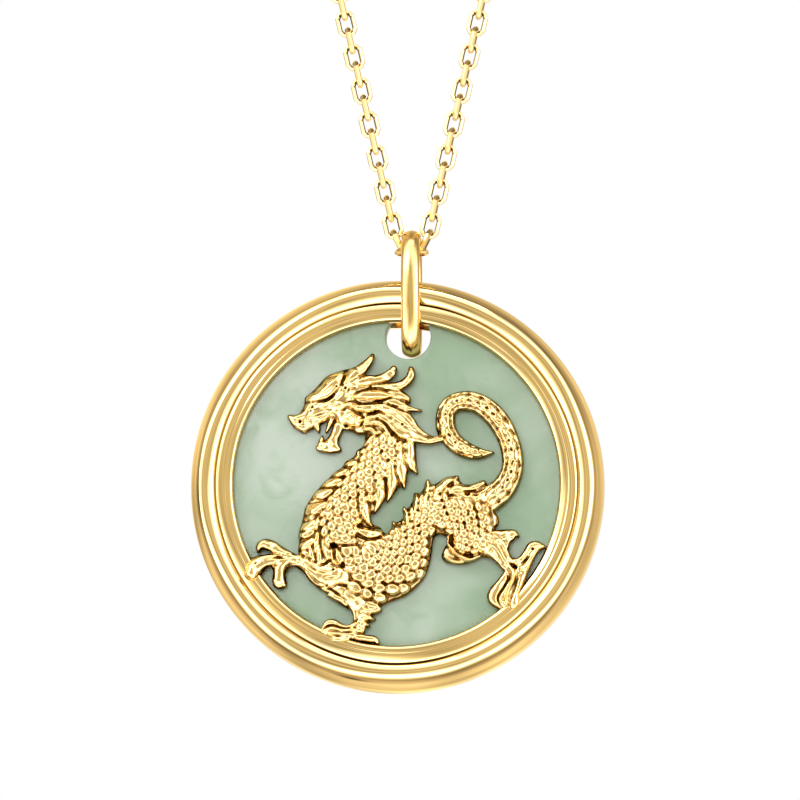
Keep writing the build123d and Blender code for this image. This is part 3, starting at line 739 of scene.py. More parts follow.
plateForm = {
    "body": {"height": 90, "rounding": 14, "edge": 0.38, "outline": [
        (-18.5, 31), (-20, 26), (-21.2, 23.2), (-24.8, 20.6), (-26, 17.5), (-30.8, 14.6), (-34, 10.6),
        (-38, 7.5), (-42, 4), (-46, 0), (-50, -4.5), (-53.6, -9.5), (-56.2, -14), (-57.4, -19),
        (-58.6, -24), (-60.4, -30.5), (-60, -34), (-60.4, -38), (-60, -44), (-55, -54), (-45, -65.3),
        (-42, -67.6), (-35, -73.2), (-28, -77), (-20, -78), (-13, -77), (-9.5, -74.6), (-3, -71.5),
        (3, -69.4), (8, -66.5), (13, -62), (17, -57), (19.5, -51), (21.4, -42), (22, -36), (23.8, -31.8),
        (27, -30.9), (31, -32.5), (38, -34), (46, -24), (52, -12), (55, -4), (55, 0.6), (53.6, 2.4),
        (50, 1.4), (46, -0.2), (42, -0.4), (39.6, 0.9), (38.3, 3.0), (37.6, 5.2), (34, 5.0), (30.5, 4.3),
        (27, 2.4), (24, 0.4), (21, 0.2), (20, 2.4), (18.8, 3.1), (17.4, 1.2), (16.4, -2.6), (14, -5.3),
        (11.8, -5.1), (10.3, -5.8), (9.7, -9.8), (8, -13), (5.9, -14.8), (4.2, -13.3), (3.3, -15.4),
        (3.9, -19.2), (3, -21.2), (0, -23.2), (-2.2, -22.5), (-3.3, -23), (-3.4, -26.6), (-7, -29.8),
        (-10.5, -26), (-14.8, -24.4), (-16.2, -22), (-15.6, -18.4), (-13.4, -17.8), (-10.4, -14),
        (-8.3, -11), (-7.5, -9.6), (-5.9, -10.7), (-3.8, -9.4), (-0.2, -4.2), (2.0, -1.8), (4.5, -2.5),
        (6.1, 1.5), (6.8, 6), (7.8, 8.2), (11.9, 6.3), (12.9, 8.4), (12.2, 13), (11.8, 19), (11.4, 25),
        (8, 30), (0, 36), (-10, 38),
    ]},
    "haunch": {"height": 96, "rounding": 15, "edge": 0.38, "outline": [
        (22, -2), (30, 2), (40, 0), (48, -1), (55, -3), (60, -6), (63.5, -12), (60.2, -16.5), (62, -20),
        (62.5, -24.5), (60.5, -27.8), (64, -31), (64, -38), (58, -45.4), (53, -44.6), (48, -45.6),
        (43, -48), (36, -49), (30, -47.8), (27.4, -44.5), (28.6, -40), (30.6, -36.5), (30.8, -33),
        (27, -29.5), (22, -25), (19, -14),
    ]},
    "hindFoot": {"height": 80, "rounding": 3, "edge": 0.5, "outline": [
        (52, -34), (58, -29.5), (66, -28.4), (72, -28.6), (74.6, -31.5), (72.4, -34.2), (69.8, -37),
        (69, -41.5), (70.6, -45), (74, -45.8), (76.4, -43.8), (78.6, -39.6), (80.6, -36.6), (84.4, -35.2),
        (88, -36), (91, -38.8), (87, -41.8), (83.8, -46), (80.9, -53), (78.1, -60), (75.0, -66),
        (75.2, -70), (76.6, -73.5), (74.6, -77.4), (69.6, -79), (65.4, -77.4), (61.4, -76.2), (57, -73.2),
        (55.2, -68.6), (57.8, -63.4), (62.6, -59), (65.2, -55), (64, -51), (60.5, -46.4), (57, -45.4),
        (52, -44),
    ]},
    "arm": {"height": 80, "rounding": 3, "edge": 0.5, "outline": [
        (-38, -46.6), (-47, -50.2), (-53.6, -46.9), (-60, -42.7), (-64.4, -43.2), (-67.4, -41.2),
        (-70.2, -38.2), (-74, -35.4), (-80, -33.1), (-84.6, -34.8), (-86.4, -38), (-85.4, -41.4),
        (-83.4, -40.6), (-80.8, -39.6), (-78, -40.6), (-77, -42), (-80, -42.8), (-85, -43.4), (-90, -45),
        (-93.6, -49), (-94.4, -54), (-92, -58.6), (-88, -60.2), (-84.6, -58.4), (-82.4, -54.6),
        (-79.6, -51.2), (-77, -50.8), (-75.8, -53.5), (-76.4, -59.4), (-74.8, -62.8), (-70.6, -64),
        (-67.4, -62), (-67.6, -58.4), (-68, -55), (-66.2, -51.9), (-62.6, -50.3), (-56.4, -54.8),
        (-49, -63), (-43.5, -66.1), (-36, -68), (-30, -56),
    ]},
    "foot": {"height": 82, "rounding": 3, "edge": 0.5, "outline": [
        (-43, -66.8), (-35, -73.4), (-30, -76), (-27, -78.2), (-26.3, -80.8), (-27, -84.4), (-30, -86),
        (-33, -85.6), (-38, -83), (-40.4, -82.4), (-43.6, -83.6), (-45.8, -87), (-47, -90.5),
        (-46.4, -94.2), (-42, -96.2), (-35, -97.2), (-30.4, -96.4), (-29, -95.2), (-24, -96.2),
        (-18, -96.9), (-14, -97.4), (-12, -98.4), (-10.7, -97.2), (-11.2, -94.8), (-13.4, -92.7),
        (-17.6, -92.3), (-20.6, -91.6), (-20.3, -89.4), (-16.8, -87), (-17.4, -85.2), (-13.4, -83),
        (-15.4, -80.8), (-10.3, -78.6), (-9.6, -75), (-20, -66),
    ]},
    "lowerJaw": {"height": 64, "rounding": 4.5, "edge": 0.45, "outline": [
        (-38.4, 38.3), (-39.7, 34.5), (-41.3, 31), (-43.8, 28), (-47.5, 27.6), (-49.3, 24.5), (-50, 22.4),
        (-48.6, 20.8), (-45, 19.8), (-40, 19.2), (-34, 20.7), (-35.4, 25), (-35, 28.3), (-33, 33),
        (-31.5, 36.5), (-34.5, 39),
    ]},
    "head": {"height": 96, "rounding": 10, "edge": 0.42, "ramp": (-66, 42, 48, -36, 50, 92), "outline": [
        (-67.4, 42.7), (-61.5, 43.4), (-58.5, 46), (-57, 50), (-56.6, 53.6), (-54, 56), (-50, 59.5),
        (-46, 64), (-43, 66.8), (-38, 69), (-33, 70.4), (-25, 71.5), (-19, 67), (-10, 65), (-2, 61),
        (4, 57), (6.5, 53), (6, 48), (9, 42), (8, 36), (3, 31), (-6, 28), (-14, 27), (-18.5, 30.2),
        (-24, 30.6), (-27, 32.3), (-31, 33.2), (-35, 34.5), (-37.5, 38.5), (-39.6, 41.5), (-44, 38.3),
        (-50, 35), (-54, 33.2), (-57, 31.7), (-60.3, 33.2), (-64, 36),
    ]},
    "jaw": {"height": 8, "rounding": 4, "edge": 0.2, "lay": 1.5, "outline": [
        (-40.4, 43.5), (-36, 45), (-31, 43.8), (-27, 44.2), (-22.6, 41.8), (-21.2, 38.5), (-23.2, 34.8),
        (-28, 35), (-31, 37.4), (-35, 37.5), (-38.6, 40),
    ]},
    "cheek": {"height": 9, "rounding": 2.6, "edge": 0.25, "lay": 1.5, "groove": 4, "outline": [
        (-43, 45.8), (-41, 49), (-36, 50.3), (-31.4, 49), (-30.3, 47), (-32.8, 45.4), (-37, 45),
    ]},
    "brow": {"height": 15, "rounding": 5, "edge": 0.45, "lay": 2.0, "groove": 10, "outline": [
        (-55.6, 51.3), (-54.6, 55), (-50, 59.3), (-46.2, 63.5), (-43, 66.2), (-38, 68.5), (-33.2, 69.7),
        (-32.4, 67), (-33.2, 62.5), (-35.6, 59), (-38.4, 55.6), (-42.8, 52.7), (-49, 51.2),
    ]},
}

# strands: how their section is made, and their lines from root to tip, point by point
# across, up, half the width and height

strandForm = {
    "chestPlates": {"look": {"edge": 0.5, "lay": 1.2, "groove": 9, "wide": 1.2, "ridge": 2.1}, "lines": [
        [(-32.6, 13.2, 1.8, 11), (-27.4, 12.9, 2.2, 14), (-23.4, 12.6, 1.2, 9)],
        [(-39, 6.8, 2.2, 11), (-33, 7.4, 2.7, 15), (-28.2, 7.0, 1.3, 9)],
        [(-45.4, 0.4, 2.2, 11), (-38, 1.0, 2.7, 15), (-33.2, 2.2, 1.3, 9)],
        [(-51.4, -6.4, 2.4, 11), (-44, -6.0, 3.0, 16), (-40.2, -4.4, 1.5, 9)],
        [(-57.0, -15.6, 3.0, 11), (-49, -15.2, 3.6, 16), (-43.6, -13.0, 2.2, 12), (-40.6, -9.4, 1.1, 8)],
        [(-59.6, -26.4, 2.4, 11), (-52, -25.6, 3.1, 15), (-47.8, -22.0, 1.6, 9)],
        [(-61.4, -32.2, 1.5, 9), (-55, -30.9, 1.9, 13), (-51, -29.4, 1.1, 8)],
        [(-60.6, -39.0, 1.8, 9), (-55, -37.2, 2.6, 14), (-51.6, -34.4, 1.4, 9)],
    ]},
    "chestFolds": {"look": {"edge": 0.3, "lay": 1.2, "groove": 8, "wide": 1.0}, "lines": [
        [(-45.8, -17.0, 1.0, 8), (-47.8, -22, 1.6, 12), (-49.2, -27.5, 1.2, 9)],
        [(-48.6, -30.0, 1.0, 8), (-49.0, -36, 1.6, 12), (-49.4, -41.5, 1.2, 9)],
        [(-47.6, -38, 1.1, 8), (-47.6, -43, 1.7, 12), (-47.4, -48.4, 1.6, 10)],
        [(-44.0, -31, 1.6, 8), (-43.8, -38, 2.3, 13), (-41.6, -45.4, 2.0, 12)],
        [(-53, -39.5, 1.2, 7), (-52.4, -43, 1.6, 9), (-51, -46.5, 1.2, 7)],
    ]},
    # where the neck lies on the back
    "neckFold": {"look": {"edge": 0.4, "lay": 1.0, "groove": 8}, "lines": [
        [(-25, -26.6, 0.8, 3), (-21, -29.6, 1.9, 10), (-14, -30.8, 2.4, 13), (-8.4, -28.8, 1.6, 9)],
    ]},
    "neckBlades": {"look": {"edge": 0.66, "groove": 11, "wide": 0.8, "ridge": 1.9, "ribs": 2}, "lines": [
        [(-21, -6, 2.2, 96), (-20.2, -12, 3.0, 98), (-19.4, -17.6, 3.2, 96), (-17.6, -22.3, 2.2, 86),
         (-15.4, -25.6, 0.8, 64)],
        [(-9.6, 1, 3.0, 100), (-10.2, -6.5, 3.5, 96), (-11.2, -12, 2.4, 84), (-13.5, -17.4, 0.8, 60)],
        [(-3.0, 11, 3.4, 100), (-2.8, 2.5, 3.8, 98), (-3.6, -4.6, 2.6, 86), (-5.7, -10.3, 0.8, 62)],
        [(3.4, 18, 3.4, 100), (3.0, 9, 3.7, 98), (3.8, 2.6, 2.5, 86), (4.7, -2.1, 0.8, 62)],
        [(8.0, 26, 3.4, 98), (8.4, 16.5, 3.7, 96), (10.1, 10, 2.6, 84), (12.3, 6.7, 0.8, 62)],
    ]},
    "backSpikes": {"look": {"edge": 0.35, "lay": 1.2, "groove": 8}, "lines": [
        [(-2.4, -23.0, 0.9, 9), (-0.8, -26.6, 1.6, 13), (1.4, -31, 1.2, 7)],
        [(4.2, -14.2, 0.9, 9), (5.4, -18.4, 1.7, 14), (6.6, -24.5, 1.2, 7)],
        [(8.4, -14.2, 0.8, 7), (9.0, -18, 1.2, 10), (9.2, -22, 0.8, 6)],
        [(11.2, -5.8, 1.0, 10), (11.8, -10.2, 1.6, 13), (11.2, -17, 1.0, 7)],
        [(14.6, -6.2, 0.8, 8), (14.8, -11, 1.1, 10), (14.2, -16, 0.8, 6)],
        [(18.9, 1.8, 1.0, 11), (18.7, -3, 1.5, 14), (17.3, -12, 1.1, 8)],
        [(23.4, -9.4, 1.2, 8), (24.8, -5, 2.1, 13), (28.8, 0.0, 2.4, 15), (33.4, 3.0, 1.8, 13),
         (37.4, 4.6, 0.9, 9)],
        [(32.6, -6.4, 1.0, 8), (35.6, -3.4, 1.9, 13), (42, -2.4, 2.4, 15), (48.6, -1.4, 2.1, 14),
         (53.4, 0.8, 1.3, 10)],
    ]},
    "haunchFolds": {"look": {"edge": 0.4, "groove": 7, "wide": 0.8}, "lines": [
        [(31.5, -32.5, 0.8, 104), (31.6, -36.5, 1.1, 106), (34, -40.5, 1.5, 108), (39, -44.8, 1.8, 106),
         (45, -46.6, 1.5, 96), (51, -44.6, 1.0, 84)],
        [(29.4, -44.4, 1.2, 76), (34, -47.2, 1.6, 76), (40, -47.8, 1.6, 72), (46, -46.8, 1.0, 66)],
    ]},
    "hindLeg": {"look": {"edge": 0.64, "groove": 5, "wide": 0.7, "ridge": 1.9}, "lines": [
        [(55.5, -33, 3.5, 92), (62, -32.2, 3.6, 88), (68, -31.0, 2.9, 82), (72.2, -30.6, 2.1, 74),
         (73.9, -32.3, 1.2, 60)],
        [(52, -36, 6.5, 98), (59, -39, 6.8, 94), (64.2, -44.5, 5.4, 90), (68.6, -51.0, 4.2, 86),
         (72.8, -56.5, 3.2, 84)],
        [(71.5, -49.0, 2.7, 88), (76.0, -47.4, 2.7, 88), (79.8, -43.0, 2.6, 86), (82.8, -38.4, 2.5, 84),
         (86.4, -37.2, 1.7, 74), (90.2, -38.9, 0.9, 60)],
        [(86.6, -40.0, 1.3, 72), (82.4, -45.0, 2.2, 82), (78.2, -53.6, 2.6, 84), (74.8, -61.6, 2.8, 86),
         (72.6, -68, 2.6, 86), (71.8, -73.6, 4.2, 90), (71.4, -75, 3.4, 88)],
        [(69.6, -50, 2.2, 92), (71.4, -56.0, 2.2, 96), (70.9, -61.5, 2.0, 96), (68.6, -67, 1.9, 94),
         (66.6, -73.4, 2.2, 90)],
        [(67.4, -55.0, 2.2, 82), (63.4, -61.6, 3.0, 84), (60.0, -66.6, 3.8, 84), (59.4, -70.8, 3.6, 82),
         (63.0, -74, 2.7, 80), (67, -75.6, 2.0, 78)],
    ]},
    "raisedArm": {"look": {"edge": 0.64, "groove": 6, "wide": 0.8, "ridge": 1.9}, "lines": [
        [(-34, -56.4, 6.0, 106), (-42, -56.6, 7.2, 104), (-48.5, -55.0, 6.6, 98), (-54, -50.4, 4.6, 92),
         (-60, -47.0, 3.7, 86), (-66, -46.0, 4.2, 84)],
        [(-64, -44.6, 2.6, 86), (-71.5, -41.0, 3.3, 88), (-77, -37.6, 3.5, 86), (-81.6, -36.7, 3.1, 84),
         (-84.4, -38.6, 2.1, 76), (-84.9, -40.6, 1.2, 62)],
        [(-60, -45.5, 2.8, 88), (-69, -46.3, 3.0, 90), (-76, -46.2, 3.5, 92), (-82, -47.2, 4.0, 92),
         (-87.5, -51, 4.9, 96), (-88.8, -54.4, 4.6, 98)],
        [(-68.5, -47.5, 3.4, 88), (-71.8, -52.0, 3.5, 88), (-71.9, -57.0, 3.6, 86), (-71.9, -60.0, 3.9, 84),
         (-72.0, -61.0, 2.6, 76)],
    ]},
    "standingLeg": {"look": {"edge": 0.55, "groove": 5, "wide": 0.8, "ridge": 2.3, "ribs": 2,
                             "ribDepth": 0.08}, "lines": [
        [(-27, -69, 5.2, 96), (-24.8, -73, 5.4, 98), (-22.8, -78, 4.6, 94), (-22.3, -84, 4.4, 92),
         (-22.8, -89.5, 3.6, 90), (-23.4, -92.5, 2.8, 88)],
        [(-20, -77.5, 2.6, 94), (-15, -77.8, 2.0, 86), (-10.4, -77.6, 0.9, 62)],
        [(-20, -81.5, 2.6, 92), (-16.4, -82.0, 1.9, 84), (-13.6, -82.6, 0.9, 62)],
        [(-20.5, -85.5, 2.2, 92), (-18.0, -86.2, 1.5, 82), (-17.0, -86.8, 0.8, 64)],
    ]},
    "toes": {"look": {"edge": 0.6, "groove": 6, "wide": 0.6, "ridge": 2.3}, "lines": [
        [(-24.6, -84.8, 1.4, 88), (-28.6, -87.6, 1.7, 88), (-33, -87.4, 1.7, 88), (-38, -85.0, 2.2, 90),
         (-41.6, -84.9, 2.2, 90), (-44.2, -87.4, 1.8, 86), (-45.8, -90, 1.1, 74)],
        [(-22.6, -89.8, 1.9, 92), (-28, -89.8, 1.6, 92), (-34, -89.2, 1.7, 92), (-40.4, -88.4, 1.7, 90),
         (-44.6, -90.6, 1.5, 84), (-46.4, -93, 1.0, 74)],
        [(-16, -93.8, 1.2, 84), (-21, -93.6, 1.8, 92), (-27, -92.8, 2.4, 96), (-35, -91.9, 2.1, 96),
         (-42, -91.8, 1.6, 90), (-45.5, -93.4, 1.1, 78)],
        [(-30, -94.8, 1.8, 90), (-36, -94.8, 2.3, 92), (-41.5, -94.4, 1.9, 88), (-45.4, -94.2, 1.1, 74)],
        [(-24.0, -94.0, 2.0, 92), (-17.6, -94.7, 2.2, 90), (-13.4, -95.2, 2.1, 86),
         (-11.8, -96.8, 1.4, 76)],
    ]},
    "lipAndNose": {"look": {"edge": 0.2, "lay": 1.5}, "lines": [
        [(-66.2, 41, 1.0, 5), (-63, 37.0, 1.6, 9), (-58, 34.4, 1.9, 10), (-52, 36.3, 1.9, 10),
         (-46, 39.2, 1.9, 10), (-41, 42.6, 1.4, 8), (-38.5, 45, 0.8, 4)],
        [(-66.5, 42.3, 0.9, 6), (-61.5, 41.4, 1.8, 9), (-57.5, 43.8, 2.2, 10), (-55, 47.2, 2.2, 9),
         (-50, 49.0, 1.8, 7), (-44, 49.6, 1.4, 5)],
    ]},
    "teeth": {"look": {"edge": 0.5, "groove": 6, "wide": 0.7}, "lines": [
        [(-49.6, 37, 2.4, 52), (-48.4, 34, 1.5, 46), (-47.9, 32.2, 0.5, 34)],
        [(-39.6, 41, 2.0, 52), (-41.6, 36.5, 1.6, 54), (-43.4, 32.5, 0.8, 40)],
        [(-46.8, 24.5, 2.2, 56), (-46.2, 28.2, 1.3, 50), (-45.9, 30.2, 0.5, 36)],
    ]},
    # three horns, two locks, four leaves behind the eye and cheek, the neck's curl
    "locks": {"look": {"edge": 0.7, "groove": 7, "wide": 0.7, "ribs": 3}, "lines": [
        [(-31, 62, 2.6, 98), (-26, 66, 4.2, 108), (-21.5, 70.2, 3.6, 104), (-17.7, 74.2, 2.7, 94),
         (-15.6, 77.4, 2.0, 82), (-15.0, 79.0, 1.4, 66)],
        [(-29, 60, 2.2, 98), (-20, 62.8, 3.5, 108), (-12, 63.7, 3.1, 102), (-6, 65.8, 3.1, 96),
         (-2.9, 68.5, 2.8, 90), (-1.9, 70.6, 2.2, 74)],
        [(-14, 58.8, 1.8, 96), (-7, 59.0, 2.6, 100), (0, 59.6, 2.9, 98), (5.2, 61.8, 2.9, 94),
         (8.4, 65.4, 2.7, 88), (9.0, 68.4, 2.5, 82), (8.8, 70.3, 1.9, 68)],
        [(-16, 55.6, 3.0, 92), (-6, 55.2, 3.2, 92), (2, 54.6, 2.8, 84), (6.6, 52.4, 2.0, 74),
         (7.4, 50.6, 1.2, 60)],
        [(-10, 51.5, 1.8, 88), (-4, 50.4, 2.6, 92), (2, 48.2, 2.7, 86), (8, 46, 1.8, 74),
         (15.2, 45.2, 0.5, 52)],
        [(-26, 53.2, 1.4, 98), (-20.5, 54.2, 3.0, 104), (-14, 54.2, 3.5, 106), (-8, 54.0, 2.8, 104),
         (-2.8, 53.5, 1.0, 98)],
        [(-28, 47.2, 1.6, 100), (-20, 46.2, 2.9, 110), (-12, 47.0, 2.6, 108), (-6.5, 48.6, 1.0, 98)],
        [(-22.5, 38.2, 1.5, 100), (-16, 40.2, 1.9, 108), (-9.5, 41.6, 1.3, 102)],
        [(-19.5, 36.4, 1.8, 98), (-13, 37.4, 2.2, 106), (-7.6, 35.6, 2.2, 106), (-5.0, 31.5, 1.8, 102),
         (-4.2, 27.2, 1.0, 94)],
        [(-19, 33.4, 1.6, 98), (-15.5, 33.2, 1.9, 104), (-13, 31, 1.6, 100), (-10, 31.6, 1.2, 96)],
    ]},
    # the long strands that sweep back over the neck
    "sweeps": {"look": {"edge": 0.7, "groove": 7, "wide": 0.7, "ribs": 4}, "lines": [
        [(-12, 46.6, 2.2, 94), (-5, 45.4, 3.2, 102), (2, 42.2, 3.4, 100), (8, 36.6, 3.2, 94),
         (13, 31.6, 2.8, 86), (19, 28.2, 1.8, 76), (27.8, 28.0, 1.2, 66)],
        [(-11, 44.2, 1.8, 98), (-3, 41.8, 2.8, 104), (4.5, 36.2, 3.0, 102), (10.5, 31.2, 2.4, 92),
         (17, 28.4, 1.5, 80), (24, 27.4, 0.8, 68)],
        [(-2, 46.6, 1.2, 92), (4, 44.2, 2.0, 94), (8.6, 39.8, 1.9, 90), (12.2, 34.6, 1.6, 82),
         (16.5, 31.0, 1.2, 72), (21, 29.0, 0.7, 62)],
        [(-12, 42.2, 1.6, 96), (-6, 37.8, 3.5, 108), (1, 33.0, 4.0, 107), (8, 29.2, 3.8, 98),
         (15, 27.0, 2.6, 86), (21, 26.0, 1.9, 76), (28.2, 27.4, 1.3, 66)],
    ]},
}

# scales: bands along a line of across, up and half the rows' length, within an outline.
# Pitch is from row to row, across from scale to scale; turn and slant are degrees

scaleBands = {
    "neck": {
        "pitch": 4.5, "across": 6.6, "length": 9.2, "width": 7.1, "lift": 30, "grow": (0.92, 1.05),
        "turn": 14, "roll": 0.5, "slant": 34, "jitter": 0.10, "seed": 3, "sink": 7, "margin": 0.6,
        "line": [
            (-3, 31, 12), (-8.5, 21, 12), (-14.5, 11, 12), (-21.5, 1, 12), (-28.5, -9, 12), (-34, -19, 12),
            (-37.6, -29, 11), (-38.6, -38, 10),
        ],
        "outline": [
            (-19, 30), (-22.5, 22), (-23.6, 15), (-28.6, 9.5), (-33, 3.6), (-37.6, -1.4), (-41, -8),
            (-43, -14.5), (-46, -20), (-47.6, -27), (-47, -32), (-41.5, -36), (-38, -38), (-33, -37.8),
            (-24, -37.8), (-15, -36.4), (-17, -33), (-22, -29), (-20, -26), (-17, -24), (-15.6, -18),
            (-14, -10), (-8, -2), (-3, 6), (1, 14), (4, 21), (5, 27), (-6, 29),
        ],
    },
    "body": {
        "pitch": 4.5, "across": 5.9, "length": 9.4, "width": 6.2, "lift": 28, "grow": (1.3, 0.78),
        "turn": -20, "roll": 0.0, "slant": 0.0, "jitter": 0.12, "seed": 5, "sink": 7, "margin": 0.6,
        "line": [
            (-42, -34, 25), (-36, -45, 24), (-26, -52, 23), (-14, -54, 21), (-3, -50, 20), (6, -42, 19),
            (13, -32, 18), (20, -20, 17), (27, -10, 16),
        ],
        "outline": [
            (-38, -39.4), (-32, -38.6), (-20, -38.2), (-10, -34), (-4, -29.5), (1, -26), (6, -20),
            (10, -13), (15, -8), (20, -4), (24, -8), (26, -20), (24, -29.5), (21, -35), (20.2, -43),
            (18, -52), (14, -58.5), (9, -63.5), (2, -68), (-6, -71.2), (-12, -73.6), (-19, -72), (-23, -68),
            (-29, -64.5), (-31, -60.5), (-30, -56), (-36, -49.4), (-38, -44),
        ],
    },
    "haunch": {
        "pitch": 3.9, "across": 5.0, "length": 7.6, "width": 5.0, "lift": 25, "grow": (1.0, 1.0),
        "turn": -14, "roll": 0.0, "slant": 0.0, "jitter": 0.2, "seed": 8, "sink": 7, "margin": 0.6,
        "line": [
            (24, -8, 24), (33, -14, 24), (42, -21, 24), (50, -30, 24), (56, -40, 20),
        ],
        "outline": [
            (22, -6), (28, -5), (31, -8.5), (40, -9.4), (48, -10.6), (53, -10), (58, -14), (59.5, -20),
            (58.5, -27), (56, -34), (52, -40), (45, -43.2), (38, -42), (33.4, -37.5), (31.8, -31),
            (28.6, -26.5), (24, -24), (21, -14),
        ],
    },
}

tailForm = {
    "line": [
        (50, -15, 7.5, 94), (57, -9.5, 8.2, 92), (65, -3, 7.6, 88), (70, 6, 6.8, 84), (71, 16, 6.6, 82),
        (68.5, 27, 6.5, 80), (63.5, 37, 6.7, 78), (56, 45.5, 6.6, 78), (47, 50.4, 6.2, 78),
        (38, 50.6, 5.9, 78), (31.4, 46.6, 5.8, 78), (29.7, 39, 6.1, 78), (31, 32, 6.0, 78),
        (35.5, 25.5, 5.7, 78), (43, 20.7, 5.0, 76), (51, 18.7, 3.6, 70), (59.2, 19.3, 0.6, 52),
    ],
    # laid in two lengths, so that its tip doesn't claim the ground of the bend beside it
    "lengths": (slice(0, 11), slice(8, None)),
    "edge": 0.42,
    # grooves along it: side as a share of the half width, width, depth
    "grooves": [(0.6, 0.9, 14), (-0.02, 0.8, 12), (-0.55, 0.7, 12)],
    "groovePlaces": (10, 12, 20),  # from its root, from its tip, how many points
    # rows of scales: side, length, width, pitch, lift, how far from the root they begin
    "scales": [(0.80, 11, 2.8, 8.6, 19, 6), (0.28, 9.4, 4.8, 6.2, 28, 9), (-0.28, 7.4, 3.8, 5.0, 24, 12),
               (-0.78, 9, 2.4, 7.4, 16, 10)],
    "scaleSink": 4,
    "furrow": 2.5,
    "bareTip": 9,
    "uneven": 0.14,  # how far scales stray along the tail, as a share of the pitch
    "sizes": (0.88, 1.14),  # their size and their turn in radians, from least to most
    "turns": (-0.06, 0.18),
    "fullHalf": 6.4,  # the half width at which scales have their full size
    "seed": 17,
}

# marks: creases cut, ridges raised and pits sunk. Width, depth and line, then a pit's
# stretch and turn

